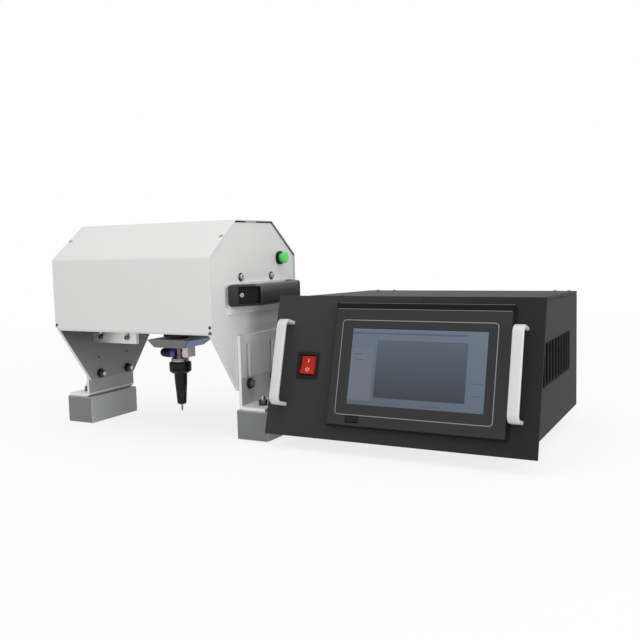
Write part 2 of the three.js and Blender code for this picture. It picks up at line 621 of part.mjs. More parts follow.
// Carriage: a saddle over the beam with the screw's nut behind and the pen's arm in front
function makeCarriage(group) {
  const c = carriage;
  const low = beamTop + touch;
  const top = low + c.roof;
  const left = pen.x - c.width / 2;
  const frontY = beam.front - touch - c.frontWall;
  const rearY = beamRear + touch;
  const roof = block([left, frontY, low], [c.width, rearY + c.rearWall - frontY, c.roof]);
  const frontWall = block([left, frontY, armBottom], [c.width, c.frontWall, top - armBottom]);
  const rearBottom = beamTop - c.rearLap;
  const rearWall = block([left, rearY, rearBottom], [c.width, c.rearWall, top - rearBottom]);
  const nutBore = xScrew.radius + touch;
  const nutHalf = nutBore + c.nutWall;
  const nutLeft = pen.x - c.nutWidth / 2;
  const nut = cut(
    block([nutLeft, rearY, xScrewZ - nutHalf], [c.nutWidth, xScrewY + nutHalf - rearY, 2 * nutHalf]),
    hole('x', [nutLeft, xScrewY, xScrewZ], nutBore, c.nutWidth),
  );
  const armFront = pen.y - arm.front;
  const penArm = block([pen.x - arm.width / 2, armFront, armBottom],
    [arm.width, frontY + c.frontWall - armFront, arm.height]);
  const bossBottom = trayBottom + tray.floor + touch;
  const boss = rodAlong('z', [pen.x, pen.y, bossBottom], pen.neckRadius, armBottom + touch - bossBottom);
  piece(group, 'x_carriage', joined(roof, frontWall, rearWall, nut, penArm, boss), 'aluminium');
}

// Tray: a sloped closed carrier with a seat for the carriage's boss, and the thin plate on its right side
function makeTray(group) {
  const left = pen.x - tray.offset;
  const right = left + tray.width;
  const frontY = pen.y - tray.front;
  const rearY = frontY + tray.depth;
  const carrier = hexahedron(
    rectangle(left, frontY, right, rearY, trayBottom),
    rectangle(left - tray.flareLeft, frontY - tray.flareFront, right + tray.flareRight, rearY + tray.flareRear,
      trayTop),
  );
  const seat = rodAlong('z', [pen.x, pen.y, trayBottom + tray.floor], pen.neckRadius + touch, tray.height);
  piece(group, 'carriage_tray', cut(carrier, seat), 'trayGrey');
  const guardLevel = (z, frontEdge, rearEdge) => {
    const x = right + tray.flareRight * (z - trayBottom) / tray.height + touch;
    return rectangle(x, frontEdge + guard.inset, x + guard.thickness, rearEdge - guard.inset, z);
  };
  piece(group, 'tray_side_guard', hexahedron(guardLevel(trayBottom + touch, frontY, rearY),
    guardLevel(trayTop, frontY - tray.flareFront, rearY + tray.flareRear)), 'bluePlate');
}

// Pen: stem and neck, collar, tapered body, pin and its return spring
function makePen(group) {
  const at = [pen.x, pen.y, 0];
  piece(group, 'pen_neck', turned([[0, neckBottom], [pen.neckRadius, neckBottom], [pen.neckRadius, neckTop],
    [pen.stemRadius, neckTop], [pen.stemRadius, stemTop], [0, stemTop]], 'z', at), 'steel');
  const collarRadius = collarBore + pen.collarWall;
  piece(group, 'pen_collar', turned([[collarBore, collarBottom],
    [collarRadius - pen.collarChamfer, collarBottom], [collarRadius, collarBottom + pen.collarChamfer],
    [collarRadius, bodyTop - pen.edge], [collarRadius - pen.edge, bodyTop], [collarBore, bodyTop],
    [collarBore, collarBottom]], 'z', at, 36), 'blackPlastic');
  piece(group, 'pen_body', turned([[pinBore, bodyBottom], [pen.tipRadius, bodyBottom],
    [pen.lowRadius, bodyBottom + pen.edge], [pen.midRadius, bodyBottom + pen.midRise],
    [pen.topRadius, collarBottom], [pen.topRadius, bodyTop], [pen.boreRadius, bodyTop],
    [pen.boreRadius, boreFloor], [pinBore, boreFloor], [pinBore, bodyBottom]], 'z', at, 36), 'blackPlastic');
  const tip = bodyBottom - pin.exposed;
  const headBottom = boreFloor + pin.headLift;
  const headRadius = pen.boreRadius - running;
  piece(group, 'marking_pin', turned([[0, tip], [pin.pointRadius, tip], [pin.radius, tip + pin.cone],
    [pin.radius, headBottom], [headRadius, headBottom], [headRadius, headBottom + pin.headHeight],
    [0, headBottom + pin.headHeight]], 'z', at, 20), 'steel');
}

// Return spring: one wire wound round the pin, from the bore's floor to the pin's head
function makePinSpring(group) {
  const low = boreFloor + touch + spring.wire;
  const rise = pin.headLift - 2 * (touch + spring.wire);
  const radius = pin.radius + spring.gap + spring.wire;
  class Helix extends THREE.Curve {
    getPoint(share, target = new THREE.Vector3()) {
      const angle = 2 * Math.PI * spring.turns * share;
      const [x, y] = [radius * Math.cos(angle), radius * Math.sin(angle)];
      return target.set(pen.x + x, pen.y + y, low + rise * share);
    }
  }
  const section = new THREE.Shape();
  section.absarc(0, 0, spring.wire, 0, 2 * Math.PI);
  const settings = { extrudePath: new Helix(), steps: 10 * spring.turns, curveSegments: 3 };
  piece(group, 'pin_spring', solid(new THREE.ExtrudeGeometry(section, settings)), 'steel');
}

// Manifold block beside the stem, and the air fitting's ring and swivelling elbow on the other side
function makeAirFitting(group) {
  const pipeLeft = pen.x + pen.stemRadius + touch;
  const corner = [pipeLeft + manifold.apart, pen.y - manifold.depth / 2, stemTop - manifold.height];
  const manifoldBody = joined(
    block(corner, [manifold.width, manifold.depth, manifold.height]),
    rodAlong('x', [pipeLeft, pen.y, fittingZ], manifold.pipeRadius, manifold.apart + manifold.width / 2),
  );
  piece(group, 'manifold_block', manifoldBody, 'blockWhite');
  const { ringRadius, ringEdge, elbowRadius } = fitting;
  const ringRight = pen.x - pen.stemRadius - touch;
  const ringLeft = ringRight - fitting.ringLength;
  const at = [0, pen.y, fittingZ];
  piece(group, 'air_fitting_ring', turned([[0, ringLeft], [ringRadius - ringEdge, ringLeft],
    [ringRadius, ringLeft + ringEdge], [ringRadius, ringRight - ringEdge], [ringRadius - ringEdge, ringRight],
    [0, ringRight]], 'x', at), 'blueRing');
  const elbowRight = ringLeft - touch;
  const elbowLeft = elbowRight - fitting.elbowLength;
  const dome = [0, 1, 2, 3].map(i => {
    const angle = i * Math.PI / 8;
    return [elbowRadius * Math.sin(angle), elbowLeft + elbowRadius * (1 - Math.cos(angle))];
  });
  const branchX = elbowLeft + elbowRadius;
  const run = turned([...dome, [elbowRadius, branchX], [elbowRadius, elbowRight], [0, elbowRight]], 'x', at);
  const branch = rodAlong('y', [branchX, pen.y, fittingZ], fitting.branchRadius, fitting.branchLength);
  const boreRadius = fitting.branchRadius - fitting.branchWall;
  const bore = rodAlong('y', [branchX, pen.y + elbowRadius, fittingZ], boreRadius, fitting.branchLength, 16);
  piece(group, 'air_elbow', cut(joined(run, branch), bore), 'blackPlastic');
}

// A round cable socket on a square flange that faces +Y at y, its tail passing inward
function cableSocket(x, y, z) {
  const half = cable.flange / 2;
  const outline = roundedRectangle(x - half, z - half, cable.flange, cable.flange, half / 4);
  const body = joined(
    extruded(outline, 'y', y, cable.flangeThickness),
    rodAlong('y', [x, y - cable.tail, z], cable.barrelRadius, cable.tail + cable.barrelLength),
  );
  const boreStart = y + cable.barrelLength - cable.bore;
  return cut(body, rodAlong('y', [x, boreStart, z], cable.barrelRadius - cable.wall, cable.bore + overrun));
}

// Cable socket and air inlet on the hood's rear face
function makeHeadSockets(group) {
  const face = hood.depth + touch;
  piece(group, 'head_socket', cableSocket(headSocket.x, face, hood.bottom + headSocket.rise), 'steel');
  const a = airInlet;
  const z = hood.bottom + a.rise;
  const end = face + a.hexLength + a.ringLength;
  const body = joined(
    rodAlong('y', [a.x, face, z], a.hexRadius, a.hexLength, 6),
    rodAlong('y', [a.x, face, z], a.ringRadius, end - face),
    rodAlong('y', [a.x, face - a.tail, z], a.ringRadius - touch, a.tail + touch),
  );
  const bore = rodAlong('y', [a.x, end - a.boreDepth, z], a.bore, a.boreDepth + overrun, 16);
  piece(group, 'air_inlet', cut(body, bore), 'brass');
}

// Control box: a pan with its floor, sides and rear wall, and a lid with a short flange that falls to the rear
function makeCase(group) {
  const panDrop = box.lidFlange + touch;
  const wallY = boxRear - box.sheet;
  const innerLeft = boxLeft + box.sheet;
  const innerWidth = boxWidth - 2 * box.sheet;
  const sloping = drop => [[boxRear, lidAt(boxRear, drop)], [caseFront(lidFront(drop)), lidFront(drop)]];
  const inside = drop => [[wallY, lidAt(wallY, drop)], [0, lidAt(0, drop)]];
  const floor = boxBottom + box.sheet;
  const outer = extruded([[caseFront(boxBottom), boxBottom], [boxRear, boxBottom], ...sloping(panDrop)], 'x',
    boxLeft, boxWidth);
  const inner = extruded([[0, floor], [wallY, floor], ...inside(0)], 'x', innerLeft, innerWidth);
  const ventStart = boxRear - vent.fromRear - (vent.count - 1) * vent.pitch / 2;
  const ventBottom = boxBottom + vent.rise;
  const vents = Array.from({ length: vent.count }, (_, i) => slot('x', ventStart + i * vent.pitch, ventBottom,
    ventBottom + vent.height, vent.width, boxLeft, boxWidth));
  const fanX = boxRight - fan.insetX;
  const fanZ = boxBottom + fan.rise;
  const slotStart = fanX - ((fan.slots - 1) * fan.slotPitch + fan.slotWidth) / 2;
  const fanSlots = Array.from({ length: fan.slots }, (_, i) => block([slotStart + i * fan.slotPitch,
    wallY - overrun, fanZ - fan.slotHeight / 2], [fan.slotWidth, box.sheet + 2 * overrun, fan.slotHeight]));
  const bodyWidth = inlet.mouthWidth + 2 * (inlet.wall + touch);
  const bodyHeight = inlet.mouthHeight + 2 * (inlet.wall + touch);
  const inletHole = block([boxLeft + inlet.insetX - bodyWidth / 2, wallY - overrun,
    boxBottom + inlet.rise - bodyHeight / 2], [bodyWidth, box.sheet + 2 * overrun, bodyHeight]);
  const socketHole = hole('y', [boxLeft + boxSocket.insetX, wallY, boxBottom + boxSocket.rise],
    cable.barrelRadius + touch, box.sheet);
  const bossStart = wallY - fan.bossLength;
  const boss = rodAlong('y', [fanX, bossStart, fanZ], fan.bossRadius, fan.bossLength + box.sheet / 2);
  const pan = joined(cut(outer, inner, vents, fanSlots, inletHole, socketHole), boss);
  piece(group, 'case_pan', pan, 'caseBlack');
  const lidOuter = extruded([...sloping(box.lidFlange).reverse(), ...sloping(0)], 'x', boxLeft, boxWidth);
  const lidInner = extruded([...inside(box.lidFlange + overrun).reverse(), ...inside(box.sheet)], 'x',
    innerLeft, innerWidth);
  piece(group, 'case_lid', cut(lidOuter, lidInner), 'caseBlack');
}

// The leaning front group: x runs along the front plate, z up the plate and y into the box
function makeFront(group) {
  const front = new THREE.Group();
  front.position.set(frontLeft, box.front, frontBottom);
  front.rotation.x = -lean;
  group.add(front);
  makeFrontPlate(front);
  makeScreen(front);
  makeRocker(front);
  makeGrabs(front);
}

// Front plate with its windows for the screen housing and the rocker
function makeFrontPlate(front) {
  const sheet = block([0, 0, 0], [frontWidth, box.plateThickness, frontHeight]);
  const inset = screen.bodyInset - touch;
  const cutDepth = box.plateThickness + 2 * overrun;
  const window = block([screen.left + inset, -overrun, screen.bottom + inset],
    [screen.width - 2 * inset, cutDepth, screen.height - 2 * inset]);
  const holeWidth = rockerWidth + 2 * touch;
  const holeHeight = rockerHeight + 2 * touch;
  const rockerHole = block([rocker.middle - holeWidth / 2, -overrun, frontHeight / 2 - holeHeight / 2],
    [holeWidth, cutDepth, holeHeight]);
  piece(front, 'front_plate', cut(sheet, window, rockerHole), 'caseBlack');
}

// Screen housing with sloped edges, the widest along its top, its screen, and the small flap in the housing's lower left corner
function makeScreen(front) {
  const s = screen;
  const base = -touch;
  const face = base - s.reach;
  const edgeY = face + s.chamfer;
  const right = s.left + s.width;
  const top = s.bottom + s.height;
  const ring = (inset, y) => [[s.left + inset, y, s.bottom + inset], [right - inset, y, s.bottom + inset],
    [right - inset, y, top - inset], [s.left + inset, y, top - inset]];
  const body = block([s.left + s.bodyInset, base - touch, s.bottom + s.bodyInset],
    [s.width - 2 * s.bodyInset, s.bodyDepth, s.height - 2 * s.bodyInset]);
  const rim = hexahedron(ring(0, base), ring(0, edgeY));
  const [lowerLeft, lowerRight, upperRight, upperLeft] = ring(s.chamfer, face);
  upperRight[2] = upperLeft[2] = top - s.topSlope;
  const bevel = hexahedron(ring(0, edgeY), [lowerLeft, lowerRight, upperRight, upperLeft]);
  const glassLeft = s.left + s.glassLeft;
  const glassBottom = s.bottom + s.glassBelow;
  const glassWidth = s.width - s.glassLeft - s.glassRight;
  const glassHeight = s.height - s.glassBelow - s.glassAbove;
  const pocket = block([glassLeft - touch, face - overrun, glassBottom - touch],
    [glassWidth + 2 * touch, overrun + s.glassSink + s.glass + touch, glassHeight + 2 * touch]);
  const flapBottom = s.bottom + s.chamfer + flap.lift;
  const flapPocket = block([glassLeft - touch, face - overrun, flapBottom - flap.hingeGap],
    [flap.width + 2 * touch, overrun + flap.pocket, flap.height + flap.hingeGap + touch]);
  piece(front, 'screen_housing', cut(joined(rim, bevel, body), pocket, flapPocket), 'blackPlastic');
  const glass = block([glassLeft, face + s.glassSink, glassBottom], [glassWidth, s.glass, glassHeight]);
  piece(front, 'screen_glass', glass, 'screenGlass');
  const flapBody = block([glassLeft, face, flapBottom], [flap.width, flap.thickness, flap.height]);
  piece(front, 'socket_flap', flapBody, 'blackPlastic');
}

// Rocker switch: its frame and body through the front plate, and the rocker itself
function makeRocker(front) {
  const r = rocker;
  const z = frontHeight / 2;
  const face = -touch - r.frameReach;
  const frame = block([r.middle - rockerWidth / 2 - r.lip, face, z - rockerHeight / 2 - r.lip],
    [rockerWidth + 2 * r.lip, r.frameReach, rockerHeight + 2 * r.lip]);
  const body = block([r.middle - rockerWidth / 2, face + r.frameReach / 2, z - rockerHeight / 2],
    [rockerWidth, r.bodyDepth, rockerHeight]);
  const well = block([r.middle - r.holeWidth / 2, face - overrun, z - r.holeHeight / 2],
    [r.holeWidth, overrun + r.bodyDepth - r.wall, r.holeHeight]);
  piece(front, 'rocker_frame', cut(joined(frame, body), well), 'blackPlastic');
  const half = r.holeHeight / 2 - r.clear;
  const outline = [[-r.crown, -half], [0, -half], [r.pivotDepth, -half / 2], [r.pivotDepth, half / 2],
    [0, half], [-r.crown, half], [-r.valley, 0]].map(([y, up]) => [y - r.pivotDepth / 2, up]);
  const width = r.holeWidth - 2 * running;
  const lever = piece(front, 'power_rocker', extruded(outline, 'x', -width / 2, width), 'redPlastic');
  lever.position.set(r.middle, r.pivotDepth - touch, z);
  lever.rotation.x = -THREE.MathUtils.degToRad(r.tiltDegrees);
}

// Grab handles on the front plate
function makeGrabs(front) {
  const g = grab;
  const path = [[-touch, g.bottom], [-touch - g.reach, g.bottom], [-touch - g.reach, g.bottom + g.height],
    [-touch, g.bottom + g.height]];
  const middles = { left: g.leftMiddle, right: screen.left + screen.width + g.rightGap };
  for (const [word, x] of Object.entries(middles)) {
    const section = bentSheet(path, g.foldRadius, g.thickness, -1);
    const bar = extruded(section, 'x', x - g.width / 2, g.width, g.edge);
    piece(front, `grab_handle_${word}`, bar, 'whitePaint');
  }
}

// Feet under the box, and the power supply and control board inside it
function makeBoxInside(group) {
  const footXs = [boxLeft + boxFoot.insetX, boxRight - boxFoot.insetX];
  const footYs = [box.front + boxFoot.insetFront, boxRear - boxFoot.insetRear];
  const footOutline = [[0, 0], [boxFoot.tipRadius, 0], [boxFoot.radius, boxFoot.height], [0, boxFoot.height]];
  footXs.flatMap(x => footYs.map(y => [x, y, 0])).forEach((at, i) => {
    piece(group, `box_foot_${i + 1}`, turned(footOutline, 'z', at, 20), 'rubber');
  });
  const powerOutline = roundedRectangle(boxLeft + power.insetX, boxRear - power.fromRear, power.width,
    power.depth, power.edge);
  piece(group, 'power_supply', extruded(powerOutline, 'z', boxFloor, power.height), 'steel');
  const b = board;
  const left = boxRight - b.insetX - b.width;
  const frontY = boxRear - b.fromRear;
  const level = boxFloor + b.standoff;
  const postXs = [left + b.inset, left + b.width - b.inset];
  const postYs = [frontY + b.inset, frontY + b.depth - b.inset];
  const posts = postXs.flatMap(x => postYs.map(y => rodAlong('z', [x, y, boxFloor], b.standoffRadius,
    b.standoff + b.thickness / 2, 12)));
  const middleY = frontY + b.depth / 2;
  const sink = block([left + b.inset, middleY, level], [b.sinkWidth, b.sinkWidth, b.sinkHeight]);
  const chip = block([left + b.width / 2, middleY, level], [b.chipWidth, b.chipDepth, b.chipHeight]);
  const sheet = block([left, frontY, level], [b.width, b.depth, b.thickness]);
  piece(group, 'control_board', joined(sheet, posts, sink, chip), 'boardGreen');
}

// Mains inlet, head socket and fan at the rear wall
function makeBoxRear(group) {
  const face = boxRear + touch;
  const n = inlet;
  const x = boxLeft + n.insetX;
  const z = boxBottom + n.rise;
  const bodyWidth = n.mouthWidth + 2 * n.wall;
  const bodyHeight = n.mouthHeight + 2 * n.wall;
  const mouthStart = face + n.reach - n.mouthDepth;
  const bodyStart = mouthStart - n.wall;
  const outline = roundedRectangle(x - n.width / 2, z - n.height / 2, n.width, n.height, n.reach);
  const flange = extruded(outline, 'y', face, n.reach);
  const body = block([x - bodyWidth / 2, bodyStart, z - bodyHeight / 2],
    [bodyWidth, face + touch - bodyStart, bodyHeight]);
  const mouth = block([x - n.mouthWidth / 2, mouthStart, z - n.mouthHeight / 2],
    [n.mouthWidth, n.mouthDepth + overrun, n.mouthHeight]);
  const prongs = [-1, 0, 1].map(i => block([x + i * n.prongSpacing - n.prongWidth / 2, mouthStart - touch,
    z + n.prongRise - n.prongHeight / 2], [n.prongWidth, n.prongLength + touch, n.prongHeight]));
  piece(group, 'mains_inlet', joined(cut(joined(flange, body), mouth), prongs), 'blackPlastic');
  const socketX = boxLeft + boxSocket.insetX;
  piece(group, 'box_socket', cableSocket(socketX, face, boxBottom + boxSocket.rise), 'steel');
  const fanX = boxRight - fan.insetX;
  const fanZ = boxBottom + fan.rise;
  const rotorStart = boxRear - box.sheet - fan.gap - fan.depth;
  const hub = rodAlong('y', [fanX, rotorStart, fanZ], fan.hubRadius, fan.depth);
  const bladeStart = fan.hubRadius - fan.bladeThickness;
  const blade = block([bladeStart, 0, -fan.bladeThickness / 2],
    [fan.radius - bladeStart, fan.depth, fan.bladeThickness]);
  const blades = Array.from({ length: fan.blades }, (_, i) => {
    const turnedBlade = blade.rotate([0, 360 * i / fan.blades, 0]);
    return moved(turnedBlade, fanX, rotorStart, fanZ);
  });
  const bore = hole('y', [fanX, rotorStart, fanZ], fan.bossRadius + touch, fan.depth);
  piece(group, 'fan_rotor', cut(joined(hub, blades), bore), 'blackPlastic');
}

// The whole machine, moved so that its origin is the middle of its footprint on the table
const machine = new THREE.Group();
makeHood(machine);
makeSidePlates(machine);
makeCrossBeams(machine);
makeHandles(machine);
makeButton(machine);
makeLegs(machine);
makeRodPlates(machine);
makeYDrive(machine);
makeSlides(machine);
makeBeam(machine);
makeCarriage(machine);
makeTray(machine);
makePen(machine);
makePinSpring(machine);
makeAirFitting(machine);
makeHeadSockets(machine);
makeCase(machine);
makeFront(machine);
makeBoxInside(machine);
makeBoxRear(machine);

machine.updateMatrixWorld(true);
const reach = new THREE.Box3().setFromObject(machine, true);
machine.position.set(-(reach.min.x + reach.max.x) / 2, -(reach.min.y + reach.max.y) / 2, -reach.min.z);

export default machine;
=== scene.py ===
# %% [markdown]
# # Nameplate marking machine
# A workshop machine that pecks numbers and words into metal nameplates with a hard pin. It has two
# units: the marking head, a white sheet hood on two legs with an air-driven pen below, and a black
# control box with a touch screen. The solids come from the CAD frame. Here they get their edges,
# screws, finishes and light.

import json
import math

import bmesh
import bpy
import numpy as np
from mathutils import Matrix, Vector


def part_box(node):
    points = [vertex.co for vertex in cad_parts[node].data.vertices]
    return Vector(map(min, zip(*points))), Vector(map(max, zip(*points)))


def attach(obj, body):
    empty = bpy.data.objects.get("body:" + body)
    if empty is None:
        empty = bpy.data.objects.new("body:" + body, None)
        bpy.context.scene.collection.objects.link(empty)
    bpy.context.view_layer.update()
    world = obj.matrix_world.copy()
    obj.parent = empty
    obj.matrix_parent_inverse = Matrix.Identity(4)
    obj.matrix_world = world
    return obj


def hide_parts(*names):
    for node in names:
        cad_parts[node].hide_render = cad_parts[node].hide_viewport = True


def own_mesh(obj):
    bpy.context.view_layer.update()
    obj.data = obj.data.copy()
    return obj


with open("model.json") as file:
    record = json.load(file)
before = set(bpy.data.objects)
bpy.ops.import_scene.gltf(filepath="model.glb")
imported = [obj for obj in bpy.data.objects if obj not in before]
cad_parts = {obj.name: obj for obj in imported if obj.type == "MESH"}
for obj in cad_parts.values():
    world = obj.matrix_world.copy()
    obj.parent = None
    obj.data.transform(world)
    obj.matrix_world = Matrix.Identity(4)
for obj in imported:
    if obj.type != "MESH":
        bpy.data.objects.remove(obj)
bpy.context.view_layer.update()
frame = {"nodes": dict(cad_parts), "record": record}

# %% [markdown]
# The drawing of the machine is in millimetres: x from the middle of the head, y from the front of
# its hood, z from the table. One function turns such points into metres of the shared frame, so
# that every piece can be written with the sizes on the drawing. The control panel leans back, so
# a second function lays points out on it: u along the panel, v up its slope, n out of it.

# %% Places
hood_low, hood_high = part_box("hood")
HEAD = np.array([(hood_low.x + hood_high.x) / 2, hood_low.y, 0])
LEAN = math.radians(15.7)
CORNER = np.array([178.1, 33.1, 17.2])


def head(points):
    """Point in the shared frame = drawing point / 1000 + place of the head."""
    return np.asarray(points, float) / 1000 + HEAD


def panel(points):
    """A point (u, v, n) of the leaning panel: y = v sin(lean) - n cos(lean), z = v cos + n sin."""
    u, v, n = np.moveaxis(np.asarray(points, float), -1, 0)
    y = v * math.sin(LEAN) - n * math.cos(LEAN)
    z = v * math.cos(LEAN) + n * math.sin(LEAN)
    return head(np.stack([u, y, z], -1) + CORNER)


print("head stands at", HEAD, "panel corner at", panel([0, 0, 0]))

# %% [markdown]
# A surface is a grid of points: rows along one direction, columns along the other. The faces of
# any grid are the same index sums, so they are written once, and a grid may close on itself.

# %% Grids
def quads(rows, columns, close_rows=False, close_columns=True):
    """Faces of a grid: corner (i, j) joins (i, j+1), (i+1, j+1) and (i+1, j)."""
    index = np.arange(rows * columns).reshape(rows, columns)
    if close_columns:
        index = np.hstack([index, index[:, :1]])
    if close_rows:
        index = np.vstack([index, index[:1]])
    corners = [index[:-1, :-1], index[:-1, 1:], index[1:, 1:], index[1:, :-1]]
    return np.stack(corners, -1).reshape(-1, 4).tolist()


def caps(ring, total):
    """The two end faces of a grid: its first ring of points and its last."""
    return [list(range(ring)), list(range(total - ring, total))]


def together(*shells):
    """Several shells as one: their points in a row, each shell's faces counted on from there."""
    points, faces, start = [], [], 0
    for shell_points, shell_faces in shells:
        points.append(np.asarray(shell_points, float))
        faces += [[corner + start for corner in face] for face in shell_faces]
        start += len(shell_points)
    return np.vstack(points), faces


# %% [markdown]
# Most small parts of a machine come from a lathe. A turned shape takes one profile of radius and
# height round an axis. A radius may also depend on the angle, which gives hexagons for nuts and
# key sockets with the same formula.

# %% Turned shapes
AXES = {"x": [2, 0, 1], "y": [1, 2, 0], "z": [0, 1, 2]}


def turned(profile, at, axis="z", steps=48, way=1):
    """Each (radius, height) goes round the axis: (r cos a, r sin a, way * h), then to its place."""
    angle = np.linspace(0, 2 * np.pi, steps, endpoint=False)
    rings = []
    for radius, height in profile:
        r = radius(angle) if callable(radius) else radius
        rings.append(np.stack([r * np.cos(angle), r * np.sin(angle), np.full(steps, way * height)], -1))
    points = np.vstack(rings)[:, AXES[axis]] + np.asarray(at, float)
    return points, quads(len(profile), steps)


def hexagon(across):
    """Radius of a hexagon at each angle: half its width / cos(angle from the middle of a flat)."""
    return lambda angle: across / 2 / np.cos((angle + np.pi / 6) % (np.pi / 3) - np.pi / 6)


def rounded(path, radius, steps=5, closed=True):
    """Each corner becomes an arc: it starts r tan(turn / 2) before the corner and ends as far after."""
    path = [np.asarray(p, float) for p in path]
    out = []
    for i, here in enumerate(path):
        if not closed and i in (0, len(path) - 1):
            out.append(here)
            continue
        before, after = path[i - 1] - here, path[(i + 1) % len(path)] - here
        before, after = before / np.linalg.norm(before), after / np.linalg.norm(after)
        half = math.acos(np.clip(before @ after, -1, 1)) / 2
        back, turn = radius / math.tan(half), (np.pi / 2 - half) * 2
        bisector = (before + after) / np.linalg.norm(before + after)
        centre = here + bisector * radius / math.sin(half)
        start, end = here + before * back - centre, here + after * back - centre
        for share in np.linspace(0, 1, steps):
            arm = start * math.sin((1 - share) * turn) + end * math.sin(share * turn)
            out.append(centre + arm / math.sin(turn))
    return np.array(out)


def extruded(outline, low, high, axis="z"):
    """A closed outline carried straight from low to high along the axis, with flat ends."""
    outline = np.asarray(outline, float)
    count = len(outline)
    ring = np.stack([outline[:, 0], outline[:, 1], np.full(count, low)], -1)
    points = np.vstack([ring, ring + [0, 0, high - low]])[:, AXES[axis]]
    return points, quads(2, count) + caps(count, 2 * count)


def rectangle(left, low, right, high):
    """The four corners of a rectangle, in order."""
    return [(left, low), (right, low), (right, high), (left, high)]


def block(low, high):
    """A box between two corners: the rectangle of their x and y, carried from one z to the other."""
    return extruded(rectangle(*low[:2], *high[:2]), low[2], high[2])


print("a hexagon of 10 mm reaches", round(float(hexagon(10)(np.pi / 6)), 3), "mm at a corner")

# %% [markdown]
# A bar or wire is a section carried along a path. At each point of the path the section stands
# square to the direction of travel, with one side kept towards a fixed direction.

# %% Swept shapes
def swept(path, section, side):
    """point = path + s * side + t * (side x direction), the direction being the path's gradient."""
    path, section, side = (np.asarray(a, float) for a in (path, section, side))
    direction = np.gradient(path, axis=0)
    direction /= np.linalg.norm(direction, axis=1)[:, None]
    up = np.cross(side, direction)
    points = path[:, None] + section[None, :, :1] * side + section[None, :, 1:] * up[:, None]
    count, ring = len(path), len(section)
    return points.reshape(-1, 3), quads(count, ring) + caps(ring, count * ring)


# %% [markdown]
# Every new piece goes through one function: double points are merged so that poles and seams
# close, faces are turned outward, and faces that meet at a small angle are shaded as one curved
# surface. The piece then rides on the body of the frame that carries the real one, and gets its
# finish by name.

# %% Pieces
MERGE = 2e-6
finishes, made = {}, []


def put(name, mesh):
    """A new object with that mesh, in the scene."""
    item = bpy.data.objects.new(name, mesh)
    bpy.context.scene.collection.objects.link(item)
    return item


def drawn(name, points, faces):
    """An object from points in metres and faces: double points are merged, and faces turned outward."""
    mesh = bpy.data.meshes.new(name)
    mesh.from_pydata(points.tolist(), [], faces)
    form = bmesh.new()
    form.from_mesh(mesh)
    bmesh.ops.remove_doubles(form, verts=form.verts, dist=MERGE)
    bmesh.ops.recalc_face_normals(form, faces=form.faces)
    form.to_mesh(mesh)
    form.free()
    return put(name, mesh)


def smoothed(mesh, angle):
    """Smooth light everywhere, with a crease where faces meet at more than the angle in degrees."""
    mesh.polygons.foreach_set("use_smooth", np.ones(len(mesh.polygons), bool))
    if angle:
        mesh.set_sharp_from_angle(angle=math.radians(angle))


def finished(item, finish, body, replaces):
    """Gives an object its finish and its body, and hides the CAD nodes that it stands for."""
    item.data.materials.append(finishes[finish])
    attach(item, body)
    for node in replaces:
        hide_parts(node)
    made.append(item.name)
    return item


def piece(name, shell, finish, body="frame", replaces=(), place=head, angle=32):
    """A named object from a shell's points, laid out by place, and its faces."""
    item = drawn(name, place(shell[0]), shell[1])
    smoothed(item.data, angle)
    return finished(item, finish, body, replaces)


# %% [markdown]
# The CAD frame says which body carries each solid and which material slot it has. A CAD solid can
# also become a piece itself: a copy is merged, and a Bevel modifier breaks its edges.

# %% Copies of CAD solids
body_of = {node: body for body, nodes in frame["record"]["behaviour"]["bodies"].items() for node in nodes}
slot_of = {part["node"]: part["material_slot"] for part in frame["record"]["subparts"]}


def bevelled(item, width, steps, limit):
    """A Bevel modifier of that many mm, on edges that turn by more than the limit in degrees."""
    bevel = item.modifiers.new("soft edges", "BEVEL")
    bevel.width, bevel.segments, bevel.limit_method = width / 1000, steps, "ANGLE"
    bevel.angle_limit = math.radians(limit)
    return bevel


def softened(node, edge, finish=None, steps=2):
    """A merged copy of a CAD solid with broken edges, whose large faces keep their flat light."""
    mesh = bpy.data.meshes.new(node + "_form")
    form = bmesh.new()
    form.from_mesh(frame["nodes"][node].data)
    bmesh.ops.remove_doubles(form, verts=form.verts, dist=MERGE)
    bmesh.ops.dissolve_limit(form, angle_limit=math.radians(1), verts=form.verts, edges=form.edges)
    form.to_mesh(mesh)
    form.free()
    smoothed(mesh, None)
    slot = slot_of[node]
    item = finished(put(node + "_form", mesh), finish or slot, body_of[node], [node])
    bevelled(item, edge, steps, 28)
    item.modifiers.new("flat light", "WEIGHTED_NORMAL").weight = 100


# %% [markdown]
# A finish is a small network of nodes. To write it as sums, one class wraps a socket: adding or
# multiplying two of them adds the Math node that does it. The finish itself keeps the shader and
# has one method that adds any other node.

# %% Writing finishes
class Value:
    """A socket that takes part in sums. Each operator adds one Math node."""

    def __init__(self, finish, socket):
        self.finish, self.socket = finish, socket

    def math_node(self, operation, first, second):
        """One Math node on two numbers or links."""
        return self.finish.node("ShaderNodeMath", {"operation": operation}, {0: first, 1: second})

    def __add__(self, other):
        return self.math_node("ADD", self, other)

    def __sub__(self, other):
        return self.math_node("SUBTRACT", self, other)

    def __rsub__(self, other):
        return self.math_node("SUBTRACT", other, self)

    def __mul__(self, other):
        return self.math_node("MULTIPLY", self, other)

    def __lt__(self, other):
        return self.math_node("LESS_THAN", self, other)

    def __gt__(self, other):
        return self.math_node("GREATER_THAN", self, other)

    __radd__, __rmul__ = __add__, __mul__


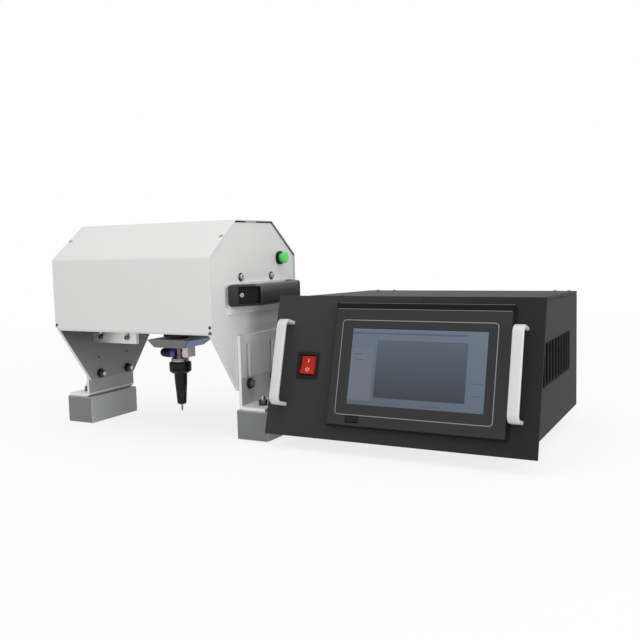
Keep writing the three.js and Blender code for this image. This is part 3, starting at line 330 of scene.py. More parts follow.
class Finish:
    """A material with one Principled shader, built from values and nodes."""

    def __init__(self, name, colour, roughness, **sockets):
        self.material = bpy.data.materials.new(name)
        self.material.use_nodes = True
        self.tree = self.material.node_tree
        self.tree.nodes.clear()
        self.shader = self.tree.nodes.new("ShaderNodeBsdfPrincipled")
        self.out = self.tree.nodes.new("ShaderNodeOutputMaterial")
        self.tree.links.new(self.shader.outputs[0], self.out.inputs[0])
        self.colour = colour
        self.set(Base_Color=colour, Roughness=roughness, **sockets)
        finishes[name] = self.material

    def fill(self, socket, value):
        """A link where the value is a Value, and a plain setting where it isn't."""
        if isinstance(value, Value):
            self.tree.links.new(value.socket, socket)
        else:
            socket.default_value = value

    def set(self, **sockets):
        """Each named socket of the shader gets a number, a colour or a link."""
        for name, value in sockets.items():
            self.fill(self.shader.inputs[name.replace("_", " ")], value)
        return self

    def node(self, kind, settings=None, inputs=None, output=0):
        """Any node: its settings first, then the values or links of its sockets."""
        made_node = self.tree.nodes.new(kind)
        for key, value in (settings or {}).items():
            setattr(made_node, key, value)
        for key, value in (inputs or {}).items():
            self.fill(made_node.inputs[key], value)
        return Value(self, made_node.outputs[output])

    def place(self, stretch=None):
        """Object coordinates in metres, stretched along an axis for brushed metal."""
        where = self.node("ShaderNodeTexCoord", output="Object")
        return self.node("ShaderNodeMapping", {}, {"Vector": where, "Scale": stretch}) if stretch else where

    def coordinate(self, axis):
        """One Object coordinate in metres, as a number that can be compared."""
        return self.node("ShaderNodeSeparateXYZ", {}, {"Vector": self.place()}, output="xyz".index(axis))

    def noise(self, scale, detail=2.0, rough=0.5, stretch=None):
        """A cloudy number from 0 to 1; scale is how many clouds fit in a metre."""
        inputs = {"Vector": self.place(stretch), "Scale": scale, "Detail": detail, "Roughness": rough}
        return self.node("ShaderNodeTexNoise", {}, inputs)

    def mix(self, mask, first, second):
        """first where the mask is 0, second where it is 1."""
        return self.node("ShaderNodeMix", {"data_type": "RGBA"}, {0: mask, 6: first, 7: second}, output=2)

    def coat(self):
        """What feeds the base colour so far."""
        return Value(self, self.shader.inputs["Base Color"].links[0].from_socket)

    def shade(self, share):
        """The finish's own colour, made brighter or darker by a share."""
        return tuple(c * share for c in self.colour[:3]) + (1.0,)

    def bump(self, height, distance):
        """distance is the real height of the grain in mm."""
        inputs = {"Height": height, "Distance": distance / 1000, "Strength": 1.0}
        return self.set(Normal=self.node("ShaderNodeBump", {}, inputs))


def srgb(red, green, blue):
    """The colour that a screen shows as these 0 to 255 values, in the renderer's linear light."""
    c = np.array([red, green, blue]) / 255
    linear = np.where(c <= 0.04045, c / 12.92, ((c + 0.055) / 1.055) ** 2.4)
    return (*linear.tolist(), 1.0)


def grey(level):
    """A grey that a screen shows as this 0 to 255 value."""
    return srgb(level, level, level)


# %% [markdown]
# Powder coat is paint that was baked as a dry powder. Up close it has a faint orange-peel skin, so
# it gets a fine bump and a slow change of gloss. The black box has the rougher, sandy kind, whose
# grain is narrower but deeper. Its colour has painted light: it is painted paler towards the head,
# and a little more so higher up, where light from the room falls on it.

# %% Powder coats
def powder_coat(name, colour, roughness, grain, depth, spread=0.03, shine=0.5):
    """Colour = the paint's, less or more by spread with the noise; grain is per metre, depth in mm."""
    coat = Finish(name, srgb(*colour), roughness, Specular_IOR_Level=shine)
    cloud = coat.noise(9.0, 3.0)
    fine = coat.noise(grain, 2.0)
    coat.set(Base_Color=coat.mix(cloud * 0.7 + fine * 0.3, coat.shade(1 - spread), coat.shade(1 + spread)),
             Roughness=fine * 0.12 + (roughness - 0.06))
    return coat.bump(fine, depth)


def case_paint():
    """Share of plain black = 0 at the machine's middle, 1 at 323 mm to the right; the rest is painted
    lighter.
    """
    case = powder_coat("case_black", (38, 38, 39), 0.55, 1400.0, 0.05, 0.06, 0.08)
    # Painted light: the case is painted paler towards the head and higher up.
    painted_light_tone = case.mix(case.coordinate("z") * 5.6, grey(52), grey(62))
    case.set(Base_Color=case.mix(case.coordinate("x") * 3.1, painted_light_tone, case.coat()))


case_paint()
powder_coat("hood_white", (214, 214, 213), 0.42, 900.0, 0.03)
powder_coat("grab_white", (200, 200, 199), 0.32, 700.0, 0.02)
powder_coat("blue_plate", (84, 120, 176), 0.4, 700.0, 0.02)
powder_coat("block_white", (214, 210, 216), 0.5, 600.0, 0.02)
print(len(finishes), "powder coats")

# %% [markdown]
# The side plates and the leg brackets have a pale paint. Their inner faces, which look at each
# other between the legs, get painted shade instead: a darker grey, a little lighter further down.
# The mask is the distance from the head's middle plane: less than 122.6 mm is the inner face of a
# side plate, and less than 128 mm the inner face of a bracket. The outer face of the right bracket
# gets painted light and shade: it is painted paler to the rear and darker lower down.

# %% Side plate and bracket paint
def side_paint(name, colour, limit, spread):
    """Colour = paint where |x - middle| > limit, else painted shade, which gets darker with height."""
    paint = powder_coat(name, colour, 0.4, 900.0, 0.03)
    across = paint.coordinate("x") - float(HEAD[0])
    inner = (across < limit / 1000) * (across > -limit / 1000)
    coat = paint.mix(paint.noise(14.0, 3.0), paint.shade(0.98), paint.shade(1.02))
    # Painted shade on the inner faces: a darker grey, darkest high up under the hood.
    inner_painted_shade = paint.mix((paint.coordinate("z") - 0.062) * 13.0, grey(144 + spread), grey(92 + spread))
    return paint.set(Base_Color=paint.mix(inner, coat, inner_painted_shade), Specular_IOR_Level=0.35)


FRONT_EDGE, FLANGE_TOP, SHADE_BELOW, OUTER_FACE = 0.0556, 0.0436, 0.0785, 0.128


def painted_light_on_leg(paint):
    """Painted light and shade. Tone = front to rear, 0 to 1 over 36 mm, behind the bracket's front edge and
    above its flange.
    """
    depth, height = paint.coordinate("y") - float(HEAD[1]), paint.coordinate("z")
    rearward = (depth - 0.06) * 28.0
    # Painted light: paler to the rear; painted shade: darker below 78.5 mm.
    upper = paint.mix(rearward, srgb(194, 195, 196), grey(250))
    lower = paint.mix(rearward, srgb(160, 161, 162), grey(232))
    outside = paint.coordinate("x") > float(HEAD[0]) + OUTER_FACE
    outer = outside * (depth > FRONT_EDGE) * (height > FLANGE_TOP)
    paint.set(Base_Color=paint.mix(outer, paint.coat(), paint.mix(height < SHADE_BELOW, upper, lower)))


side_paint("side_paint", (216, 216, 215), 122.6, 0)
painted_light_on_leg(side_paint("bracket_paint", (232, 233, 234), 128.0, 14))
for side in ("left", "right"):
    softened(f"side_plate_{side}", 0.4, "side_paint")
    softened(f"leg_bracket_{side}", 0.5, "bracket_paint")
print("side plates and brackets painted")

# %% [markdown]
# The foot blocks are cut from flat steel bar. Their front and rear ends are rougher, and they are
# painted darker than the long sides as painted shade.

# %% Foot blocks
def bar_steel():
    """Ends = y less than the front end's place, or more than the rear end's place; they get painted shade."""
    steel = powder_coat("bar_steel", (168, 169, 170), 0.34, 800.0, 0.03)
    low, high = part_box("foot_block_left")
    ends_painted_shade = (steel.coordinate("y") < low.y + 0.0003) + (steel.coordinate("y") > high.y - 0.0003)
    skin = steel.mix(steel.noise(7.0, 2.0), steel.shade(0.9), steel.shade(1.1))
    # The ends get painted shade: a darker grey, with more roughness.
    steel.set(Base_Color=steel.mix(ends_painted_shade, skin, srgb(118, 119, 120)), Roughness=ends_painted_shade * 0.15 + 0.3)


bar_steel()
for side in ("left", "right"):
    softened(f"foot_block_{side}", 1.4, "bar_steel", 3)
print("foot blocks done")

# %% [markdown]
# The tray under the carriage has grey painted sides. Its lid, the part above 127.8 mm, sits in the
# hood's shade and gets painted light: it is painted nearly white.

# %% Tray paint
LID_HEIGHT = 0.1278


def tray_paint():
    """Painted light = z above the lid's height; below it the paint's tone changes slowly by 3 %."""
    tray = powder_coat("tray_paint", (108, 110, 108), 0.5, 900.0, 0.03)
    painted = tray.mix(tray.noise(9.0), tray.shade(0.97), tray.shade(1.03))
    # Painted light on the lid, which lies in the hood's shade.
    tray.set(Base_Color=tray.mix(tray.coordinate("z") > LID_HEIGHT, painted, srgb(236, 238, 236)))


tray_paint()
softened("carriage_tray", 0.35, "tray_paint")
print("tray painted")

# %% [markdown]
# Moulded plastic is smoother than paint, with a fine spark-eroded grain. Rubber is nearly matt.
# The button and the rocker are lit from inside, so they give off a little of their own colour.

# %% Plastics and rubber
def plastic(name, colour, roughness, grain=1500.0, depth=0.02, glow=0.0, shine=0.5):
    """Colour = the plastic's, less or more by 6 % in clouds of 40 mm; glow is light of its own colour."""
    moulded = Finish(name, srgb(*colour), roughness, Specular_IOR_Level=shine)
    fine = moulded.noise(grain, 1.0)
    cloud = moulded.noise(25.0, 2.0)
    moulded.set(Base_Color=moulded.mix(cloud, moulded.shade(0.94), moulded.shade(1.06)),
                Roughness=fine * 0.1 + (roughness - 0.05))
    if glow:
        moulded.set(Emission_Color=moulded.colour, Emission_Strength=glow)
    return moulded.bump(fine, depth)


plastic("black_plastic", (20, 20, 21), 0.38, shine=0.18)
# A near-black plastic for painted shade in the handle pockets.
plastic("recess_shade_black", (15, 15, 16), 0.5, shine=0.14)
plastic("vent_shade_black", (10, 10, 11), 0.6, shine=0.04)
plastic("green_plastic", (66, 205, 84), 0.3, glow=0.12)
plastic("red_plastic", (156, 27, 6), 0.3, glow=0.2, shine=0.22)
plastic("blue_ring", (70, 52, 150), 0.35)
plastic("mark_white", (214, 190, 178), 0.4)
plastic("foot_rubber", (34, 34, 35), 0.8, 500.0, 0.06)
plastic("motor_black", (44, 44, 47), 0.5, shine=0.3)
print(len(finishes), "finishes so far")

# %% [markdown]
# Two black materials aren't one tone all over. The top of a handle's grip gets a painted highlight,
# and the black strip under the hood gets painted light along part of the ridge and on the rear slope.

# %% Handle plastic and gap shade strip
def handle_plastic():
    """Painted highlight share = height above 187 mm, full 11 mm higher, 56 to 150 mm behind the hood's front.
    """
    grip = plastic("handle_black", (25, 25, 26), 0.46, shine=0.34)
    behind = grip.coordinate("y") - float(HEAD[1])
    # Painted highlight along the top of the grip.
    painted_highlight = (grip.coordinate("z") - 0.187) * 90.0 * (behind > 0.056) * (behind < 0.150)
    grip.set(Base_Color=grip.mix(painted_highlight, grip.coat(), srgb(84, 84, 85)))


def gap_shade_strip():
    """Black as painted shade, with painted light: pale from 83 to 108 mm behind the hood's front, and grey
    beyond 147.5 mm.
    """
    dark_strip = Finish("gap_shade_strip", srgb(10, 10, 11), 0.6, Specular_IOR_Level=0.1)
    behind = dark_strip.coordinate("y") - float(HEAD[1])
    # Painted light where light gets into the gap: pale on the ridge, grey on the rear slope.
    slope_painted_light = dark_strip.mix(behind > 0.1475, dark_strip.colour, srgb(96, 96, 98))
    dark_strip.set(Base_Color=dark_strip.mix((behind > 0.083) * (behind < 0.108), slope_painted_light, grey(170)))


handle_plastic()
gap_shade_strip()
print("handles and foam toned")

# %% [markdown]
# The screen's housing has a satin face. Its flanks are matt and painted nearly black as painted
# shade. A flank is where the Object coordinates pass the face's own right, lower and upper edge.

# %% Screen housing plastic
def housing_plastic():
    """Painted shade on the flanks: x beyond the face's right edge, or z below its lower edge, or z above its
    upper edge.
    """
    moulded = plastic("housing_black", (48, 48, 49), 0.42, shine=0.22)
    right, low, high = panel([296.4, 0, 7])[0], panel([0, 18.6, 7])[2], panel([0, 155.4, 7])[2]
    shaded_flank = (moulded.coordinate("x") > float(right)) + (moulded.coordinate("z") < float(low)) \
        + (moulded.coordinate("z") > float(high))
    # The flanks are painted shade: the housing's colour at a fifth, and rougher.
    moulded.set(Base_Color=moulded.mix(shaded_flank, moulded.shade(1), moulded.shade(0.2)),
                Roughness=shaded_flank * 0.4 + 0.42, Specular_IOR_Level=0.14)


housing_plastic()
print(len(finishes), "finishes so far")

# %% [markdown]
# Bare metal mirrors its surroundings. What makes it look machined is the direction of its fine
# scratches, so the noise is stretched along one axis and feeds the gloss and a very low bump.

# %% Metals
def metal(name, colour, roughness, stretch=None):
    """Colour and gloss follow 500 fine lines a metre, drawn out where stretch is less than 1."""
    bare = Finish(name, srgb(*colour), roughness, Metallic=1.0)
    lines = bare.noise(500.0, 3.0, 0.6, stretch)
    bare.set(Base_Color=bare.mix(lines, bare.shade(0.86), bare.shade(1.04)),
             Roughness=lines * 0.2 + (roughness - 0.1))
    bare.bump(lines, 0.01)


metal("bright_steel", (200, 202, 205), 0.3)
metal("aluminium", (205, 207, 209), 0.4, (0.06, 1, 1))
metal("brass", (126, 104, 90), 0.42)
metal("dull_steel", (158, 158, 158), 0.42)
metal("silver_line", (138, 139, 140), 0.4)
metal("turned_steel", (190, 192, 195), 0.32, (1, 1, 0.1))
metal("dark_steel", (84, 82, 80), 0.34)
metal("pin_steel", (128, 128, 130), 0.4)
metal("satin_silver", (236, 236, 234), 0.42, (0.06, 1, 1))
metal("bronze", (150, 130, 84), 0.4)
print("metals done")

# %% [markdown]
# The control board inside the box is green solder mask over copper tracks. A few bands of Object
# coordinates are enough for tracks that are only seen through the vents.

# %% Circuit board
board = Finish("board_green", srgb(38, 98, 62), 0.4)
tracks = board.node("ShaderNodeTexWave", {"wave_type": "BANDS", "bands_direction": "X"},
                    {"Vector": board.place(), "Scale": 60.0, "Distortion": 6.0, "Detail": 2.0}) > 0.7
board.set(Base_Color=board.mix(tracks, board.shade(0.9), board.shade(1.7)), Roughness=tracks * 0.2 + 0.35)
print("board tracks done")

# %% [markdown]
# The hood is one sheet bent six times: four bends between its five flats, and one more for the short
# lip along each lower edge. A folded sheet has soft bends, so the outline is the bend line with an
# arc at each corner, and the inner face is the same line moved in by the sheet. Between the two the
# edge is closed all round. The lips are narrower than the rest: they are the first and the last nine
# points of the line.

# %% Hood
SHEET, BEND_STEPS = 1.5, 9
HALF_WIDTH, HALF_LIP = 129, 122
bends = [(9, 138.5), (0, 138.5), (0, 233.7), (59.3, 279.1), (146.7, 279.1), (206, 233.7), (206, 138.5),
         (197, 138.5)]


def bent_sheet(path, radius, sheet, left, right):
    """Outer line = rounded path; inner line = the path moved in by the sheet, its radius less the sheet.
    left and right are the x of both edges, one number or one for each point of the line."""
    path = np.array(path, float)
    along = np.diff(path, axis=0)
    along /= np.linalg.norm(along, axis=1)[:, None]
    normal = np.stack([along[:, 1], -along[:, 0]], -1)
    inner = [path[0] + normal[0] * sheet]
    for corner, before, after in zip(path[1:-1], normal, normal[1:]):
        inner.append(corner + (before + after) * sheet / (1 + before @ after))
    inner.append(path[-1] + normal[-1] * sheet)
    outer = rounded(path, radius, BEND_STEPS, False)
    inner = rounded(inner, radius - sheet, BEND_STEPS, False)
    count = len(outer)
    rows = [np.column_stack([np.broadcast_to(edge, count), line])
            for edge, line in ((left, outer), (right, outer), (right, inner), (left, inner))]
    ends = [[row * count + point for row in range(4)] for point in (0, count - 1)]
    return np.vstack(rows), quads(4, count, True, False) + ends


widths = np.full(2 + BEND_STEPS * (len(bends) - 2), float(HALF_WIDTH))
widths[:BEND_STEPS] = widths[-BEND_STEPS:] = HALF_LIP
sheet = bent_sheet(bends, 4, SHEET, -widths, widths)
hood = piece("hood_sheet", sheet, "hood_white", replaces=["hood"], angle=None)
bevelled(hood, 0.4, 2, 50).harden_normals = True
print("hood:", len(hood.data.polygons), "faces,", [round(v * 1000) for v in hood.dimensions], "mm")

# %% [markdown]
# A black strip along the ridge and the rear slope, under the hood's edge, is painted shade: it
# shows as a thin dark line where the hood rests on the side plates. It follows the same bends, one
# sheet further in.

# %% Hood gap shade strip
STRIP_DEPTH, HOOD_MIDDLE = 1.6, 103
under = [(y + 0.9 * (HOOD_MIDDLE - y) / HOOD_MIDDLE, z - STRIP_DEPTH) for y, z in bends[3:6]]
for word, low, high in (("left", -128.4, -127.3), ("right", 127.3, 128.4)):
    # The strip is painted shade for the gap under the hood's edge.
    piece(f"hood_gap_shade_{word}", bent_sheet(under, 3, STRIP_DEPTH, low, high), "gap_shade_strip")
print("hood seals done")

# %% [markdown]
# Plates, brackets, blocks and bars are cut from stock and have their edges broken with a file or a
# cutter. The CAD solids have dead sharp edges. A small bevel catches the light along each edge,
# which is most of what makes metal look solid, so each solid is copied, merged and bevelled.

# %% Cut and machined pieces
for node, width in {
    "cross_beam_front": 0.8, "cross_beam_rear": 0.8,
    "rod_plate_rear": 0.5, "y_slide_block": 0.8, "support_rail": 0.6, "gantry_beam": 0.5,
    "tray_side_guard": 0.25, "manifold_block": 0.8,
    "case_pan": 0.3, "case_lid": 0.4, "front_plate": 0.5, "socket_flap": 0.25, "rocker_frame": 0.5,
    "mains_inlet": 0.4, "power_supply": 0.6, "control_board": 0.2, "fan_rotor": 0.3,
}.items():
    softened(node, width)
softened("screen_housing", 0.6, "housing_black", 3)
softened("rod_plate_front", 0.6, "satin_silver")
softened("x_carriage", 0.5, "motor_black")
for node in ("y_motor", "x_motor"):
    softened(node, 0.6)
print(len(made), "pieces so far")

# %% [markdown]
# Sheet metal machines are held together with socket screws. One turned profile makes the whole
# head: the barrel, its chamfer, and the six-sided socket, which is a hexagon at the same angles
# as the round rings, so the grid needs no extra faces.

# %% Screws
def cap_screw(at, axis, radius, height, way=1):
    """Rings from the seat outward: barrel, chamfer, rim, then down the hexagonal socket to its floor."""
    key, floor = radius * 0.95, height * 0.45
    profile = [(0, 0), (radius, 0), (radius, height - 0.5), (radius - 0.25, height - 0.12),
               (radius - 0.6, height), (hexagon(key + 0.5), height), (hexagon(key), height - 0.3),
               (hexagon(key), floor), (0, floor - key * 0.25)]
    return turned(profile, at, axis, 36, way)


def button_screw(at, axis, radius, height, way=1):
    """A low domed head: height falls as the cosine of the way out, with a small hexagonal socket."""
    dome = [(radius * math.sin(a), height * math.cos(a)) for a in np.linspace(math.pi / 2, 0.42, 7)]
    profile = [(0, 0), (radius, 0)] + dome + [(hexagon(radius * 0.62), height * 0.9),
                                              (hexagon(radius * 0.6), height * 0.35), (0, height * 0.25)]
    return turned(profile, at, axis, 36, way)


SIDE_FACE = 127.5
side_places = [(way * SIDE_FACE, y, z) for way in (-1, 1) for y, z in ((68.4, 206.8), (142.4, 205.4))]
piece("side_screws", together(*[cap_screw(at, "x", 3.9, 3.4, np.sign(at[0])) for at in side_places]),
      "turned_steel")
washer = [(0, 0), (5.3, 0), (5.5, 0.2), (5.5, 0.8), (5.2, 1), (0, 1)]
piece("side_washers", together(*[turned(washer, at, "x", 40, np.sign(at[0])) for at in side_places]),
      "dark_steel")
print(len(side_places), "screws hold the side plates to the cross beams")

# %% [markdown]
# The hood's own screws are small button heads: two on each slope, and one or two near each lower
# corner of the front and the back. A screw on a slope is turned upright first and tipped after.

# %% Hood screws
def tipped(shell, at, angle):
    """Turns a z-up shell about the X axis by the angle, then moves it to its place."""
    points, faces = shell
    c, s = math.cos(angle), math.sin(angle)
    x, y, z = points.T
    return np.stack([x, y * c - z * s, y * s + z * c], -1) + at, faces


SCREW_IN = 32.5
slant = math.atan2(bends[3][1] - bends[2][1], bends[3][0] - bends[2][0])
hood_screws, slope_screws = [], []
for way in (-1, 1):
    for y, turn in ((SCREW_IN, slant), (2 * HOOD_MIDDLE - SCREW_IN, -slant)):
        seat = (way * 125.0, y, bends[2][1] + SCREW_IN * math.tan(slant))
        slope_screws.append(tipped(button_screw((0, 0, 0), "z", 2.6, 1.1), seat, turn))
    for z in ((146.4,) if way < 0 else (142.1, 148.8)):
        hood_screws += [button_screw((way * 126.2, y, z), "y", 2.1, 0.9, face)
                        for y, face in ((0, -1), (2 * HOOD_MIDDLE, 1))]
piece("hood_screws", together(*hood_screws), "dark_steel")
piece("hood_slope_screws", together(*slope_screws), "dull_steel")
print(len(hood_screws) + len(slope_screws), "hood screws")

# %% [markdown]
# The carrying handles are moulded bridges. Their sloped feet have deep pockets, with the fixing
# screw at the bottom. The bridge is an outline carried upward, its outer edges are rounded by a
# Bevel modifier, and a Boolean modifier takes the pockets out, as a mould core would. Pockets and
# screws are placed by the slope of a foot: its start, the way up it and the way out of it.

# %% Carrying handles
HANDLE_Y, HANDLE_Z, SLOPE = 109, 185, 43.86
FOOT_X, FOOT_Y, GRIP_X, GRIP_Y = 131.8, 78, 163.8, 48


def foot_slope(end):
    """Start of a sloped foot at the side plate, then two directions: up the slope and out of it."""
    along = np.array([GRIP_X - FOOT_X, (FOOT_Y - GRIP_Y) * end]) / SLOPE
    return np.array([FOOT_X, -FOOT_Y * end]), along, np.array([along[1], -along[0]]) * end


def handle_outline(way):
    """The bridge seen from above: sloped feet and a straight grip, 11 mm thick."""
    outer = [(FOOT_X, -FOOT_Y), (GRIP_X, -GRIP_Y), (GRIP_X, GRIP_Y), (FOOT_X, FOOT_Y)]
    inner = [(FOOT_X, 62.9), (GRIP_X - 11, 43.2), (GRIP_X - 11, -43.2), (FOOT_X, -62.9)]
    return [(way * x, HANDLE_Y + y) for x, y in outer + inner]


def pocket(way, end, top=-3, floor=7, gap=0.0):
    """A slot sunk 7 mm into a sloped foot, from 14 to 42 mm up its slope, less a gap all round."""
    start, along, out = foot_slope(end)
    corners = [start + along * up - out * deep for up, deep in rectangle(14 + gap, top, 42 - gap, floor)]
    return extruded([(way * x, HANDLE_Y + y) for x, y in corners], 174.2 + gap, 195.9 - gap)


def cut_out(item, shells):
    """Takes each shell out of the item with a Boolean, applies its modifiers and leaves a plain mesh."""
    tools = [drawn("tool", head(points), faces) for points, faces in shells]
    for tool in tools:
        cutter = item.modifiers.new("pocket", "BOOLEAN")
        cutter.operation, cutter.object, cutter.solver = "DIFFERENCE", tool, "EXACT"
    bpy.context.view_layer.update()
    result = bpy.data.meshes.new_from_object(item.evaluated_get(bpy.context.evaluated_depsgraph_get()))
    item.modifiers.clear()
    item.data = result
    for tool in tools:
        bpy.data.objects.remove(tool)


for word, way in (("left", -1), ("right", 1)):
    bridge = extruded(handle_outline(way), HANDLE_Z - 13.5, HANDLE_Z + 13.5)
    handle = piece(f"carry_handle_{word}", bridge, "handle_black", replaces=[f"handle_{word}"], angle=None)
    bevelled(handle, 3, 6, 60)
    cut_out(handle, [pocket(way, 1), pocket(way, -1)])
    smoothed(handle.data, 30)
    # A dark sheet on each pocket's floor is painted shade for the deep recess.
    shaded_floors = together(*[pocket(way, end, 6.7, 7.3, 0.2) for end in (1, -1)])
    piece(f"pocket_floor_shade_{word}", shaded_floors, "recess_shade_black")
    print(handle.name, len(handle.data.polygons), "faces")

# %% [markdown]
# Each fixing screw stands square to its sloped foot, at the bottom of the pocket, so it is turned
# upright first and then given the two directions of the slope.

# %% Handle screws
def slope_screw(way, end):
    """Screw axis = the slope's outward normal; its seat is 6.9 mm down and 19 mm up the slope."""
    start, along, out = foot_slope(end)
    points, faces = cap_screw((0, 0, 0), "z", 2.9, 2.6)
    across, up, rise = points.T
    flat = start + along * 19 - out * 6.9 + across[:, None] * along + rise[:, None] * out
    return np.stack([way * flat[:, 0], HANDLE_Y + flat[:, 1], HANDLE_Z + up], -1), faces


piece("handle_screws", together(*[slope_screw(way, end) for way in (-1, 1) for end in (-1, 1)]), "dull_steel")
print("4 handle screws")

# %% [markdown]
# The legs hang on four bolts through slots. On the real machine they are loosened, the leg slides
# to the height of the workpiece, and they are tightened again. The bright bolt is one profile along
# X. The black nut and the black head, each with its washer, are rings round it.

# %% Leg bolts
BOLT_Z, BOLT_Y = 69.8, {"front": 73.15, "rear": 130.45}
LEG_BOLT = [(0, 113.6), (2.5, 113.6), (3, 114.1), (3, 137.4), (2.5, 137.9), (0, 137.9)]
PIN_END = [(0, 0), (1.6, 0), (1.6, 0.4), (1.3, 0.6), (0, 0.6)]
STUD = [(0, 0), (3, 0), (3, 11.4), (2.5, 12), (0, 12)]
STUD_NUT = [(3, 0), (5.6, 0), (5.8, 0.2), (5.8, 0.9), (hexagon(9.2), 1), (hexagon(9.8), 1.4),
            (hexagon(9.8), 6.6), (hexagon(9.0), 7.2), (3, 7.2), (3, 0)]


def leg_nuts(way, y):
    """Black rings round the bolt: nut and washer inside, washer and hexagon head outside."""
    face, corner = hexagon(10.0), hexagon(9.2)
    nut = [(3, 116), (corner, 116), (face, 116.5), (face, 120.6), (6.9, 120.6), (7, 120.8), (7, 122),
           (6.9, 122.2), (3, 122.2), (3, 116)]
    bolt_head = [(3, 132.1), (6.9, 132.1), (7, 132.3), (7, 133.5), (6.9, 133.7), (face, 133.7), (face, 136.8),
                 (corner, 137.4), (3, 137.4), (3, 132.1)]
    return [turned(profile, (0, y, BOLT_Z), "x", 48, way) for profile in (nut, bolt_head)]


for side, way in (("left", -1), ("right", 1)):
    leg = body_of[f"leg_bracket_{side}"]
    for end, y in BOLT_Y.items():
        piece(f"bolt_{side}_{end}", turned(LEG_BOLT, (0, y, BOLT_Z), "x", 32, way), "turned_steel",
              replaces=[f"leg_bolt_{side}_{end}"])
    nuts = [ring for y in BOLT_Y.values() for ring in leg_nuts(way, y)]
    pins = [turned(PIN_END, (way * 122.5, y, z), "x", 20, -way) for y, z in ((72.2, 93.2), (130.1, 94.4))]
    piece(f"leg_nuts_{side}", together(*nuts, *pins), "dark_steel")
    foot_screws = [(way * 150, y, 42) for y in (76.5, 125.7)]
    studs, nuts = ([turned(profile, at, "z", steps) for at in foot_screws]
                   for profile, steps in ((STUD, 32), (STUD_NUT, 48)))
    piece(f"foot_studs_{side}", together(*studs), "turned_steel", leg)
    piece(f"foot_nuts_{side}", together(*nuts), "dark_steel", leg)
print("leg bolts and foot screws done")

# %% [markdown]
# The start button is a standard panel button: a black bezel nut against the plate and a domed
# green cap that stands out of it. Both are lathe profiles along X.

# %% Start button
BUTTON = (0, 164.0, 228.9)
bezel = [(6.4, 120.5), (6.9, 120.5), (6.9, 127.8), (8.8, 127.8), (9, 128), (9, 131), (8.8, 131.5),
         (8.2, 131.8), (6.9, 131.8), (6.4, 131.5), (6.4, 120.5)]
piece("button_bezel", turned(bezel, BUTTON, "x", 64), "black_plastic", replaces=["start_button_ring"])
dome = [(7.2 * math.sin(a), 139.5 - 1.2 * (1 - math.cos(a))) for a in np.linspace(1.2, 0, 8)]
cap = [(0, 123.5), (6.1, 123.5), (6.1, 135.5), (7.4, 135.5), (7.8, 135.9), (7.8, 138.2), (7.4, 138.8)] + dome
piece("button_cap", turned(cap, BUTTON, "x", 64), "green_plastic", "button", ["start_button_cap"])
print("start button done")

# %% [markdown]
# The two drive screws are the steep kind with several thread starts, so that a small motor moves
# the carriage fast. A thread is a turned shape whose radius also depends on the angle: the ridge
# goes once round while the height grows by one lead.

# %% Drive screws
RADIUS, DEPTH, LEAD, STARTS = 4, 0.7, 20, 4
ROD_Z, PLATE_Z = 146, 124.5


def threaded(low, high, at, axis, steps=40, rise=0.5):
    """r = radius - depth * s, where s swings from 0 to 1 with starts * (angle / 2 pi + height / lead).
    Both ends stay plain for the length of one radius."""
    heights = np.linspace(low, high, int((high - low) / rise) + 1)
    angle = np.linspace(0, 2 * np.pi, steps, endpoint=False)
    phase = STARTS * (angle[None, :] / (2 * np.pi) + heights[:, None] / LEAD)
    groove = np.clip(0.5 + 0.9 * np.cos(2 * np.pi * phase), 0, 1)
    r = RADIUS - DEPTH * groove * (np.minimum(heights - low, high - heights)[:, None] > RADIUS)
    grid = np.stack([r * np.cos(angle), r * np.sin(angle), np.repeat(heights[:, None], steps, 1)], -1)
    points = grid.reshape(-1, 3)[:, AXES[axis]] + np.asarray(at, float)
    return points, quads(len(heights), steps) + caps(steps, len(points))


y_thread = threaded(62, 177, (-81.5, 0, ROD_Z), "y")
x_thread = threaded(-90.4, 112, (0, 127, 182), "x")
piece("y_drive_screw", y_thread, "turned_steel", "y_screw_shaft", ["y_screw"])
piece("x_drive_screw", x_thread, "turned_steel", "x_screw_shaft", ["x_screw"])
rod = [(0, 61.3), (4.6, 61.3), (5, 61.7), (5, 176.3), (4.6, 176.7), (0, 176.7)]
rods = {"outer": -105.0, "inner": -58.0}
for word, x in rods.items():
    piece(f"rod_{word}", turned(rod, (x, 0, ROD_Z), "y"), "turned_steel", replaces=[f"guide_rod_{word}"])
low_ring = [(0, 0), (4.3, 0), (4.5, 0.2), (4.5, 0.7), (4.3, 0.9), (0, 0.9)]
piece("plate_washers", together(*[turned(low_ring, (x, 61, PLATE_Z), "y", 36, -1) for x in rods.values()]),
      "turned_steel")
for word, finish in (("outer", "dark_steel"), ("inner", "bronze")):
    piece(f"plate_screw_{word}", cap_screw((rods[word], 61, PLATE_Z), "y", 3.1, 3.4, -1), finish)

# %% [markdown]
# The marking pen is an air cylinder the size of a thick marker. From the top: a stem through the
# air block, a bright neck, a black grip collar, and a body that tapers down to the hard pin. All
# of them are turned, so each is one profile with its grooves and small radii in it.

